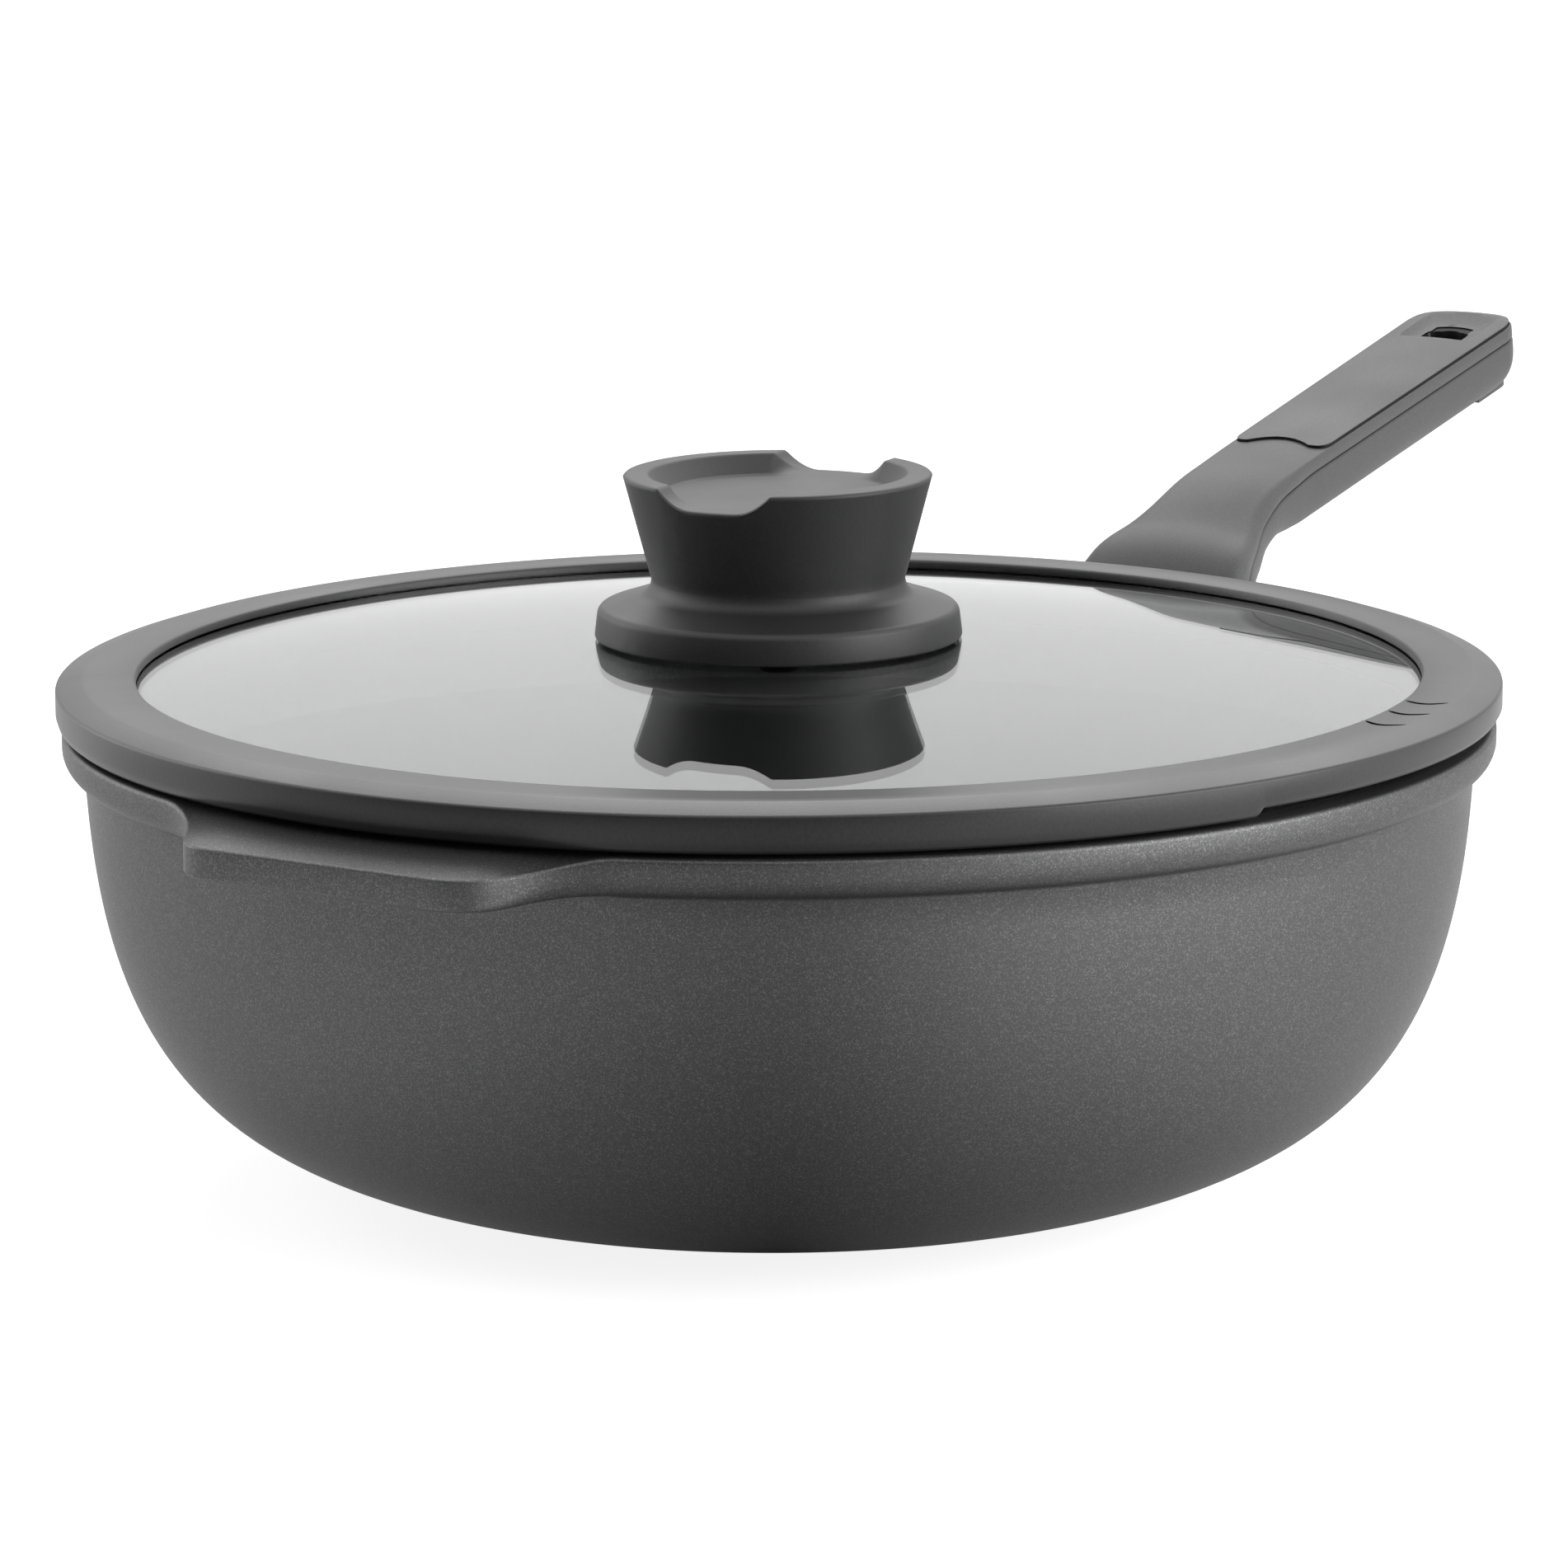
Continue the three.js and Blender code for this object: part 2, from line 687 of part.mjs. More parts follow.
// Scoop round the hanging hole: steep in front, with a long slope towards the end.
function scoop() {
  const front = holeNear - SCOOP_FRONT;
  const end = holeFar + SCOOP_PAST_HOLE;
  const floorHalf = SCOOP_HALF_WIDTH - SCOOP_SIDE;
  const floor = scoopLevel(front + SCOOP_LIP, end, floorHalf, SCOOP_FLOOR);
  const mouth = scoopLevel(front, end + SCOOP_RUNOUT, SCOOP_HALF_WIDTH, SCOOP_MOUTH);
  return skinned([floor.ring, mouth.ring], floor.outline);
}

// Plan of the tongue, rounded towards the end.
function tongueOutline() {
  const half = TONGUE_WIDTH / 2;
  const tip = gripLength - TONGUE_FROM_END;
  const near = tip - TONGUE_LENGTH;
  const turn = tip - TONGUE_CORNER;
  const shape = new THREE.Shape();
  shape.moveTo(near, -half);
  shape.lineTo(turn, -half);
  shape.quadraticCurveTo(tip, -half, tip, TONGUE_CORNER - half);
  shape.lineTo(tip, half - TONGUE_CORNER);
  shape.quadraticCurveTo(tip, half, turn, half);
  shape.lineTo(near, half);
  return shape;
}

// Plan of the soft pad, from its hollow front edge to the rounded end.
function padOutline(inset) {
  const margin = PAD_MARGIN + inset;
  const front = PAD_START + inset;
  const frontHalf = gripHalf(front) - margin;
  const end = gripLength - margin;
  const corner = END_CORNER - margin;
  const endHalf = gripHalf(end - corner) - margin;
  const turn = end - corner - END_BOW;
  const shoulder = end - END_BOW / 2;
  const shape = new THREE.Shape();
  shape.moveTo(front, PAD_CORNER - frontHalf);
  shape.quadraticCurveTo(front, -frontHalf, front + PAD_CORNER, -frontHalf);
  shape.lineTo(turn, -endHalf);
  shape.quadraticCurveTo(end - END_BOW, -endHalf, shoulder, corner - endHalf);
  shape.quadraticCurveTo(end, 0, shoulder, endHalf - corner);
  shape.quadraticCurveTo(end - END_BOW, endHalf, turn, endHalf);
  shape.lineTo(front + PAD_CORNER, frontHalf);
  shape.quadraticCurveTo(front, frontHalf, front, frontHalf - PAD_CORNER);
  shape.quadraticCurveTo(front + 2 * PAD_FRONT_BOW, 0, front, PAD_CORNER - frontHalf);
  return shape;
}

// The lug is a bar on the seam, from inside the wall to its reach up the neck.
function lugBar(grow) {
  const tip = neckShare(LUG_REACH + grow);
  const list = Array.from({ length: LUG_STEPS + 1 }, (_, i) => ({
    frame: neckFrame((tip * i) / LUG_STEPS),
  }));
  const half = LUG_WIDTH / 2 + grow;
  const high = LUG_THICKNESS / 2 + grow;
  const bar = [point(-half, -high), point(half, -high), point(half, high), point(-half, high)];
  return alongHandle(() => bar, list);
}

const boltFrame = neckFrame(neckShare(BOLT_AT));
const boltSeat = -(LUG_THICKNESS / 2 + FIT + BOLT_SEAT);
const handDeep = FOOT_LOWER + GRIP_LOWER;
const handleHeight = BOWL_HEIGHT + HANDLE_REACH;

// A turned piece set square to the seam.
function setTurned(profile, frame) {
  const geometry = new THREE.LatheGeometry(profile, SMALL_FACETS);
  return solid(geometry.rotateX(Math.PI / 2).applyMatrix4(frame));
}

// A round hole square to the seam, between two heights.
function bore(radius, low, high, frame) {
  return setTurned([point(0, low), point(radius, low), point(radius, high), point(0, high)], frame);
}

const rearScrew = holeNear - SHELL_SCREW_TO_HOLE;
const shellScrewFrames = [SHELL_SCREW_FRONT, rearScrew].map((along) =>
  gripFrame.clone().multiply(new THREE.Matrix4().makeTranslation(along, 0, 0)),
);

function makeBowl() {
  const recess = turned(
    [
      point(0, -PAST),
      point(DISC_RADIUS + FIT, -PAST),
      point(DISC_RADIUS + FIT, discSeat),
      point(0, discSeat),
    ],
    BOWL_FACETS,
  );
  return bowlPlug(0)
    .add(helperBand())
    .add(lugBar(0))
    .subtract(bowlCavity())
    .subtract(recess)
    .subtract(helperCut())
    .subtract(bore(BOLT_RADIUS + FIT, -LUG_THICKNESS, LUG_THICKNESS, boltFrame));
}

function makeUpperShell() {
  const slab = alongHandle((station) => {
    const half = station.half + PAST;
    const line = topLine(station, station.half - shellCorner(station), PAD_THICKNESS).reverse();
    const low = line[0].y;
    const high = upperEdge(station) + GRIP_CROWN + PAST;
    return [point(-half, low), ...line, point(half, low), point(half, high), point(-half, high)];
  }, stations.slice(NECK_STATIONS));
  const recess = slab.intersect(extruded(padOutline(0), -PAST, handDeep, gripFrame));
  let shell = alongHandle(upperSection)
    .intersect(extruded(handlePlan(), -handleHeight, handleHeight, gripFrame))
    .subtract(recess)
    .subtract(extruded(holeOutline(), -handDeep, handDeep, gripFrame))
    .subtract(bowlPlug(FIT))
    .subtract(lugBar(FIT));
  for (const frame of shellScrewFrames) {
    shell = shell.subtract(bore(SHELL_SCREW_RADIUS + FIT, -handDeep, SHELL_SCREW_BITE + FIT, frame));
  }
  return shell;
}

function makeLowerShell() {
  const tongueTop = TONGUE_THICKNESS - GRIP_LOWER;
  const tongue = extruded(tongueOutline(), -GRIP_LOWER, tongueTop, gripFrame);
  let shell = alongHandle(lowerSection)
    .intersect(extruded(handlePlan(), -handleHeight, handleHeight, gripFrame))
    .add(tongue)
    .subtract(extruded(holeOutline(), -handDeep, handDeep, gripFrame))
    .subtract(bowlPlug(FIT))
    .subtract(lugBar(FIT))
    .subtract(bore(BOLT_RADIUS + FIT, -handDeep, 0, boltFrame))
    .subtract(bore(BOLT_WASHER_RADIUS + FIT, -handDeep, boltSeat, boltFrame));
  for (const frame of shellScrewFrames) {
    const seat = -SHELL_SCREW_SEAT;
    shell = shell
      .subtract(bore(SHELL_SCREW_RADIUS + FIT, -handDeep, FIT, frame))
      .subtract(bore(SHELL_SCREW_HEAD_RADIUS + FIT, -handDeep, seat, frame));
  }
  return shell;
}

function makePad() {
  const slab = alongHandle((station) => {
    const flat = station.half - shellCorner(station);
    const low = topLine(station, flat, PAD_THICKNESS - FIT).reverse();
    return [...low, ...topLine(station, flat, 0)];
  }, stations.slice(NECK_STATIONS));
  return slab
    .intersect(extruded(padOutline(FIT), -PAST, handDeep, gripFrame))
    .subtract(scoop())
    .subtract(extruded(holeOutline(), -handDeep, handDeep, gripFrame));
}

// Lid

const rimOuter = RIM_RADIUS + LID_OVERHANG;
const rimInside = rimOuter - LID_RIM_WIDTH;
const lidTop = BOWL_HEIGHT + LID_RIM_HEIGHT;
const skirtLow = BOWL_HEIGHT + LID_GAP;
const seatLow = BOWL_HEIGHT + FIT;
const glassRadius = rimInside + GLASS_BITE;
const domeDrop = (radius) => GLASS_DOME_RADIUS - Math.sqrt(GLASS_DOME_RADIUS ** 2 - radius ** 2);
const glassApex = lidTop - GLASS_DEPTH + domeDrop(rimInside);
const glassTop = (radius) => glassApex - domeDrop(radius);
const glassLow = (radius) => glassTop(radius) - GLASS_THICKNESS;

function lidRimProfile() {
  const lipOuter = rimInner - LID_LIP_CLEARANCE;
  const lipInner = lipOuter - LID_LIP_WIDTH;
  const lipLow = BOWL_HEIGHT - LID_LIP_DEPTH;
  const skirtInner = rimOuter - LID_SKIRT_WIDTH;
  const grooveEnd = glassRadius + FIT;
  return [
    point(rimInside, lidTop),
    point(rimInside, glassTop(rimInside) + FIT),
    point(grooveEnd, glassTop(grooveEnd) + FIT),
    point(grooveEnd, glassLow(grooveEnd) - FIT),
    point(rimInside, glassLow(rimInside) - FIT),
    point(rimInside, glassLow(rimInside) - FIT - UNDER_GLASS_LIP),
    point(lipInner, seatLow),
    point(lipInner, lipLow + LID_LIP_CHAMFER),
    point(lipInner + LID_LIP_CHAMFER, lipLow),
    point(lipOuter - LID_LIP_CHAMFER, lipLow),
    point(lipOuter, lipLow + LID_LIP_CHAMFER),
    point(lipOuter, seatLow),
    point(skirtInner - (skirtLow - seatLow), seatLow),
    point(skirtInner, skirtLow),
    point(rimOuter - LID_SKIRT_INSET, skirtLow),
    point(rimOuter, skirtLow + LID_SKIRT_CHAMFER),
    point(rimOuter, lidTop - LID_CHAMFER_DROP),
    point(rimOuter - LID_CHAMFER_WIDTH, lidTop),
  ];
}

// Steam vent: the rim is cut away from below over part of a turn, with a bevelled upper edge, and the
// ledge that carries the glass stays.
function ventCut() {
  const inner = rimInside - PAST;
  const outer = rimOuter + PAST;
  const under = glassLow(rimInside) - FIT - UNDER_GLASS_LIP;
  const high = skirtLow + VENT_HEIGHT;
  const low = BOWL_HEIGHT - LID_LIP_DEPTH - PAST;
  const outline = [
    point(inner, low),
    point(outer, low),
    point(outer, high + VENT_BEVEL + PAST),
    point(rimOuter, high + VENT_BEVEL),
    point(rimOuter - LID_SKIRT_WIDTH / 2, high),
    point(glassRadius, Math.min(high, under)),
    point(inner, Math.min(high, under)),
  ];
  const list = Array.from({ length: VENT_STEPS + 1 }, (_, i) => ({
    turn: radians(VENT_HEADING - VENT_ANGLE / 2 + (VENT_ANGLE * i) / VENT_STEPS),
  }));
  return skinnedRound(list, () => outline);
}

function glassProfile() {
  const radii = Array.from(
    { length: GLASS_RINGS + 1 },
    (_, i) => GLASS_HOLE_RADIUS + ((glassRadius - GLASS_HOLE_RADIUS) * i) / GLASS_RINGS,
  );
  const below = radii.map((radius) => point(radius, glassLow(radius)));
  const above = radii.map((radius) => point(radius, glassTop(radius)));
  return [...below, ...above.reverse()];
}

// Knob and its fixing, stacked on the glass

const flangeLow = glassApex + 2 * FIT + GASKET_THICKNESS;
const flangeTop = flangeLow + FLANGE_HEIGHT;
const gasketRecess = GASKET_RADIUS + FIT;
const flangeSkirt = glassTop(gasketRecess) + FIT;
const knobTop = flangeLow + KNOB_HEIGHT;
const dishFloor = knobTop - DISH_DEPTH;
const insertTop = flangeLow + INSERT_LENGTH;
const screwHole = KNOB_SCREW_RADIUS + FIT;

function knobProfile() {
  const flangeEdge = FLANGE_RADIUS - FLANGE_TAPER;
  const neckLow = flangeTop + FLANGE_CROWN;
  const landInner = KNOB_TOP_RADIUS - DISH_LAND;
  return [
    point(0, insertTop + FIT),
    point(INSERT_RADIUS + FIT, insertTop + FIT),
    point(INSERT_RADIUS + FIT, flangeLow),
    point(gasketRecess, flangeLow),
    point(gasketRecess, flangeSkirt),
    point(FLANGE_RADIUS - KNOB_EDGE, flangeSkirt),
    point(FLANGE_RADIUS, flangeSkirt + KNOB_EDGE),
    point(flangeEdge, flangeTop - KNOB_EDGE),
    point(flangeEdge - KNOB_EDGE, flangeTop),
    point(KNOB_NECK_RADIUS + NECK_FILLET, neckLow),
    point(KNOB_NECK_RADIUS + NECK_FILLET * ROUND_CUT, neckLow + NECK_FILLET * ROUND_CUT),
    point(KNOB_NECK_RADIUS, neckLow + NECK_FILLET),
    point(KNOB_TOP_RADIUS, knobTop - KNOB_EDGE),
    point(KNOB_TOP_RADIUS - KNOB_EDGE, knobTop),
    point(landInner, knobTop),
    point(landInner - DISH_SLOPE, dishFloor),
    point(0, dishFloor),
  ];
}

// Two notches across the top, level with the floor of the dish. Their sides sweep into the floor
// and turn over at the top more tightly.
function notchCut() {
  const half = NOTCH_WIDTH / 2;
  const flat = half - NOTCH_SHOULDER;
  const high = knobTop + PAST;
  const floor = dishFloor;
  const shape = new THREE.Shape();
  shape.moveTo(half, high);
  shape.lineTo(-half, high);
  shape.lineTo(-half, knobTop);
  shape.bezierCurveTo(NOTCH_BROW - half, knobTop, -flat - NOTCH_SWEEP, floor, -flat, floor);
  shape.lineTo(flat, floor);
  shape.bezierCurveTo(flat + NOTCH_SWEEP, floor, half - NOTCH_BROW, knobTop, half, knobTop);
  const frame = new THREE.Matrix4().makeBasis(
    new THREE.Vector3(0, 1, 0),
    new THREE.Vector3(0, 0, 1),
    new THREE.Vector3(1, 0, 0),
  );
  return extruded(shape, -KNOB_TOP_RADIUS - PAST, KNOB_TOP_RADIUS + PAST, frame);
}

function gasketProfile() {
  const inner = INSERT_RADIUS + FIT;
  const top = flangeLow - FIT;
  return [
    point(inner, glassTop(inner) + FIT),
    point(GASKET_RADIUS, glassTop(GASKET_RADIUS) + FIT),
    point(GASKET_RADIUS, top),
    point(inner, top),
  ];
}

const grommetTop = glassLow(GROMMET_FLANGE) - FIT;
const washerTop = grommetTop - GROMMET_THICKNESS - FIT;
const knobScrewSeat = washerTop - KNOB_WASHER_THICKNESS - FIT;

function grommetProfile() {
  const sleeve = GLASS_HOLE_RADIUS - FIT;
  const top = glassTop(GLASS_HOLE_RADIUS);
  const low = grommetTop - GROMMET_THICKNESS;
  return [
    point(screwHole, low),
    point(GROMMET_FLANGE, low),
    point(GROMMET_FLANGE, grommetTop),
    point(sleeve, grommetTop),
    point(sleeve, top),
    point(screwHole, top),
  ];
}

function raised(profile, height) {
  return profile.map((p) => point(p.x, p.y + height));
}

// Assembly

const pan = new THREE.Group();
pan.add(piece("wok_body", makeBowl(), GRAPHITE));
const discProfile = [
  point(0, 0),
  point(DISC_RADIUS - DISC_CHAMFER, 0),
  point(DISC_RADIUS, DISC_CHAMFER),
  point(DISC_RADIUS, DISC_THICKNESS),
  point(0, DISC_THICKNESS),
];
pan.add(piece("induction_base", turned(discProfile, BOWL_FACETS), STEEL));

const handle = new THREE.Group();
handle.add(piece("handle_upper_shell", makeUpperShell(), SOFT_GREY));
handle.add(piece("handle_lower_shell", makeLowerShell(), SOFT_GREY));
handle.add(piece("handle_pad", makePad(), PAD_GREY));
const boltLength = BOLT_SEAT + FIT + LUG_THICKNESS + BOLT_WASHER_THICKNESS + FIT;
const boltHead = boltSeat - BOLT_WASHER_THICKNESS - 2 * FIT;
const boltProfile = screw(BOLT_RADIUS, boltLength, BOLT_HEAD_RADIUS, BOLT_HEAD_HEIGHT);
handle.add(piece("handle_bolt", setTurned(raised(boltProfile, boltHead), boltFrame), STEEL));
const boltWasher = washer(
  BOLT_RADIUS + FIT,
  BOLT_WASHER_RADIUS,
  boltSeat - FIT,
  BOLT_WASHER_THICKNESS,
);
const boltWasherRing = setTurned([...boltWasher, boltWasher[0]], boltFrame);
handle.add(piece("handle_bolt_washer", boltWasherRing, STEEL));
const shellScrewProfile = screw(
  SHELL_SCREW_RADIUS,
  SHELL_SCREW_SEAT + FIT + SHELL_SCREW_BITE,
  SHELL_SCREW_HEAD_RADIUS,
  SHELL_SCREW_HEAD_HEIGHT,
);
["front", "rear"].forEach((end, i) => {
  const body = setTurned(raised(shellScrewProfile, -SHELL_SCREW_SEAT - FIT), shellScrewFrames[i]);
  handle.add(piece(`shell_screw_${end}`, body, STEEL));
});

const lid = new THREE.Group();
lid.rotation.z = radians(LID_TURN);
const lidRim = turnedRing(lidRimProfile(), BOWL_FACETS).subtract(ventCut());
lid.add(piece("lid_rim", lidRim, SILICONE_GREY));
lid.add(piece("lid_glass", turnedRing(glassProfile(), BOWL_FACETS), GLASS));
lid.add(piece("knob_body", turned(knobProfile(), KNOB_FACETS).subtract(notchCut()), KNOB_GREY));
const insertProfile = washer(screwHole, INSERT_RADIUS, insertTop, INSERT_LENGTH);
lid.add(piece("knob_insert", turnedRing(insertProfile, SMALL_FACETS), BRASS));
lid.add(piece("knob_gasket", turnedRing(gasketProfile(), KNOB_FACETS), SEAL_BLACK));
lid.add(piece("glass_grommet", turnedRing(grommetProfile(), SMALL_FACETS), SEAL_BLACK));
const knobWasher = washer(screwHole, KNOB_WASHER_RADIUS, washerTop, KNOB_WASHER_THICKNESS);
lid.add(piece("knob_washer", turnedRing(knobWasher, SMALL_FACETS), STEEL));
const knobScrewLength = flangeLow - knobScrewSeat + KNOB_SCREW_BITE;
const knobScrew = screw(
  KNOB_SCREW_RADIUS,
  knobScrewLength,
  KNOB_SCREW_HEAD_RADIUS,
  KNOB_SCREW_HEAD_HEIGHT,
);
lid.add(piece("knob_screw", turned(raised(knobScrew, knobScrewSeat), SMALL_FACETS), STEEL));

const wok = new THREE.Group();
wok.add(pan, handle, lid);

export default wok;
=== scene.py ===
# Wok with a lid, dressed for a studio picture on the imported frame. Sizes are in millimetres unless said.
import math
import bmesh
import bpy
import numpy as np
from mathutils import Matrix, Vector


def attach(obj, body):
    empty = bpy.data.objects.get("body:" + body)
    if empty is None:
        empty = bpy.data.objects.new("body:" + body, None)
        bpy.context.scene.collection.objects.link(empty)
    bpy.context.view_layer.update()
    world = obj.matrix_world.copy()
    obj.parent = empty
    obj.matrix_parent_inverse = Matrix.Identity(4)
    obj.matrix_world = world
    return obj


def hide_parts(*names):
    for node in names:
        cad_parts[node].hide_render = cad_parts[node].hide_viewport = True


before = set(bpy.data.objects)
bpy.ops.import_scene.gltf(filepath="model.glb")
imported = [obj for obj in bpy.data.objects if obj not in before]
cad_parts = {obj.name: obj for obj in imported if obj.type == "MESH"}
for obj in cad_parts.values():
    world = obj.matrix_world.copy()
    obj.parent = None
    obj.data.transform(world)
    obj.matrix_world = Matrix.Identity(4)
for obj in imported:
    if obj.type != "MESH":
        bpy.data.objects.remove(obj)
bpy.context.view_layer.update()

# Bowl
# The bowl, its thickened rim and the helper handle are one aluminium casting. It is turned on the rim
# and base, then sprayed inside and out with a matt graphite coating that has a fine metallic sparkle.
MM = 0.001
RIM_RADIUS = 143.4
RIM_TOP = 93.2
RIM_FOOT = 85.2
RIM_LEDGE = 4.4
RIM_UNDERCUT = 4.7
RIM_ROUND = 1.1
WALL = 3.0
WALL_CURVE = [(72.0, 1.5), (121.91, 8.51), (136.84, 35.65), (139.0, 85.2)]
DISC_RADIUS = 70.0
DISC_SEAT = 2.7
FLOOR_TOP = 6.3
HELPER_EDGE = 156.0
HELPER_HALF = 25.0
HELPER_TOP = 90.45
HELPER_BOTTOM = 84.2
HELPER_ROUND = 0.8
HELPER_CREST = 0.6
HELPER_SEAT = 140.4
HELPER_ROOT = math.radians(22.5)
ROOT_SWEEP = 24
CORNER_SWEEP = 14
RAMP_LENGTH = 16
RAMP_INSET = 3.5
BOWL_TURNS = 432


def bezier(points, count):
    """Points evenly spaced in parameter on a cubic curve."""
    t = np.linspace(0, 1, count)[:, None]
    a, b, c, d = (np.array(p, dtype=float) for p in points)
    return (1 - t) ** 3 * a + 3 * t * (1 - t) ** 2 * b + 3 * t * t * (1 - t) * c + t ** 3 * d


def smooth(value, low, high):
    """Eases from 0 at low to 1 at high."""
    x = min(1.0, max(0.0, (value - low) / (high - low)))
    return x * x * (3 - 2 * x)


def arc(centre, reach, start, stop, count):
    """Points on an elliptical arc, angles in degrees."""
    turns = [math.radians(start + (stop - start) * i / (count - 1)) for i in range(count)]
    return [(centre[0] + reach[0] * math.cos(a), centre[1] + reach[1] * math.sin(a)) for a in turns]


def grid_piece(name, rows, around, sharp=40):
    """A closed skin over rows of matching points, each row a closed outline, as a smooth-shaded piece."""
    count = len(rows[0])
    faces = []
    for i in range(len(rows) if around else len(rows) - 1):
        k = (i + 1) % len(rows)
        for j in range(count):
            n = (j + 1) % count
            faces.append((i * count + j, i * count + n, k * count + n, k * count + j))
    if not around:
        faces.append(tuple(range(count)))
        last = (len(rows) - 1) * count
        faces.append(tuple(last + j for j in range(count)))
    points = [Vector(p) * MM for row in rows for p in row]
    return mesh_piece(name, points, faces, sharp)


def mesh_piece(name, points, faces, sharp):
    mesh = bpy.data.meshes.new(name)
    mesh.from_pydata(points, [], faces)
    work = bmesh.new()
    work.from_mesh(mesh)
    bmesh.ops.remove_doubles(work, verts=work.verts, dist=2e-6)
    bmesh.ops.dissolve_degenerate(work, edges=work.edges, dist=1e-6)
    bmesh.ops.recalc_face_normals(work, faces=work.faces)
    work.to_mesh(mesh)
    work.free()
    mesh.shade_smooth()
    mesh.set_sharp_from_angle(angle=math.radians(sharp))
    piece = bpy.data.objects.new(name, mesh)
    bpy.context.scene.collection.objects.link(piece)
    return piece


def turned_row(profile, a):
    """A profile at one turn round the upright axis."""
    return [(r * math.cos(a), r * math.sin(a), z) for r, z in profile]


def turned_rows(profile, turns):
    """One closed profile repeated round the upright axis."""
    return [turned_row(profile, 2 * math.pi * i / turns) for i in range(turns)]


wall_outer = bezier(WALL_CURVE, 44)
wall_along = np.gradient(wall_outer, axis=0)
wall_along /= np.linalg.norm(wall_along, axis=1)[:, None]
wall_inner = wall_outer + WALL * np.stack([-wall_along[:, 1], wall_along[:, 0]], axis=1)
wall_inner = [tuple(p) for p in wall_inner if p[1] > FLOOR_TOP + 0.8]

# Plan of the helper handle, as reach against direction from the middle of its edge
root_point = (RIM_RADIUS * math.cos(HELPER_ROOT), RIM_RADIUS * math.sin(HELPER_ROOT))
helper_side = bezier(
    [
        root_point,
        (
            root_point[0] + ROOT_SWEEP * math.sin(HELPER_ROOT),
            root_point[1] - ROOT_SWEEP * math.cos(HELPER_ROOT),
        ),
        (HELPER_EDGE, HELPER_HALF + CORNER_SWEEP),
        (HELPER_EDGE, HELPER_HALF),
    ],
    60,
)
helper_turn = np.arctan2(helper_side[:, 1], helper_side[:, 0])[::-1]
helper_reach = np.hypot(helper_side[:, 0], helper_side[:, 1])[::-1]
ramp_top = root_point[1] - RAMP_INSET


def bowl_section(turn):
    """The casting's section at a turn from the helper's middle."""
    off = abs(turn)
    out = RIM_RADIUS
    if off < helper_turn[0]:
        out = HELPER_EDGE / math.cos(off)
    elif off < HELPER_ROOT:
        out = float(np.interp(off, helper_turn, helper_reach))
    grown = smooth(out - RIM_RADIUS, 0, HELPER_EDGE - RIM_RADIUS)
    ramp = smooth(out * math.sin(off), ramp_top - RAMP_LENGTH, ramp_top)
    top = HELPER_TOP + (RIM_TOP - HELPER_TOP) * ramp
    bottom = RIM_FOOT + (HELPER_BOTTOM - RIM_FOOT) * grown
    round_out = RIM_LEDGE + (HELPER_ROUND - RIM_LEDGE) * grown
    round_up = RIM_UNDERCUT + (HELPER_ROUND - RIM_UNDERCUT) * grown
    crest = RIM_ROUND + (HELPER_CREST - RIM_ROUND) * grown
    section = [(0, DISC_SEAT), (DISC_RADIUS + 0.3, DISC_SEAT), (DISC_RADIUS + 0.3, 1.8)]
    section += [(DISC_RADIUS + 0.6, 1.5)]
    section += [tuple(p) for p in wall_outer[:-2]]
    section += [(wall_outer[-1][0] + 0.05, bottom - 0.7), (wall_outer[-1][0] + 0.6, bottom)]
    section += arc((out - round_out, bottom + round_up), (round_out, round_up), -90, 0, 9)[1:]
    section += arc((out - crest, top - crest), (crest, crest), 0, 90, 6)
    fall = out - crest - HELPER_SEAT
    section += [(HELPER_SEAT + fall * k, RIM_TOP + (top - RIM_TOP) * k) for k in (0.7, 0.4, 0.15, 0)]
    section += [(HELPER_SEAT - 0.6, RIM_TOP)]
    inner = wall_inner[-1][0]
    section += arc((inner + RIM_ROUND, RIM_TOP - RIM_ROUND), (RIM_ROUND, RIM_ROUND), 90, 180, 6)
    section += wall_inner[::-1]
    section += [(wall_inner[0][0] - 4, FLOOR_TOP + 0.1), (wall_inner[0][0] - 9, FLOOR_TOP), (0, FLOOR_TOP)]
    return section


bowl_rows = []
for i in range(BOWL_TURNS):
    turn = 2 * math.pi * i / BOWL_TURNS - math.pi
    bowl_rows.append(turned_row(bowl_section(turn), math.pi + turn))
bowl = grid_piece("bowl", bowl_rows, around=True)


def node_group(name, inputs, outputs):
    """An empty shader node group with named number inputs and outputs."""
    group = bpy.data.node_groups.new(name, "ShaderNodeTree")
    for label, value in inputs.items():
        socket = group.interface.new_socket(label, in_out="INPUT", socket_type="NodeSocketFloat")
        socket.default_value = value
    for label in outputs:
        group.interface.new_socket(label, in_out="OUTPUT", socket_type="NodeSocketFloat")
    return group, group.nodes.new("NodeGroupInput"), group.nodes.new("NodeGroupOutput")


def noise_node(tree, scale, detail, roughness=0.5):
    node = tree.nodes.new("ShaderNodeTexNoise")
    node.inputs["Scale"].default_value = scale
    node.inputs["Detail"].default_value = detail
    node.inputs["Roughness"].default_value = roughness
    return node


def range_node(tree, low, high, to_low=0.0, to_high=1.0):
    node = tree.nodes.new("ShaderNodeMapRange")
    node.inputs["From Min"].default_value = low
    node.inputs["From Max"].default_value = high
    node.inputs["To Min"].default_value = to_low
    node.inputs["To Max"].default_value = to_high
    return node


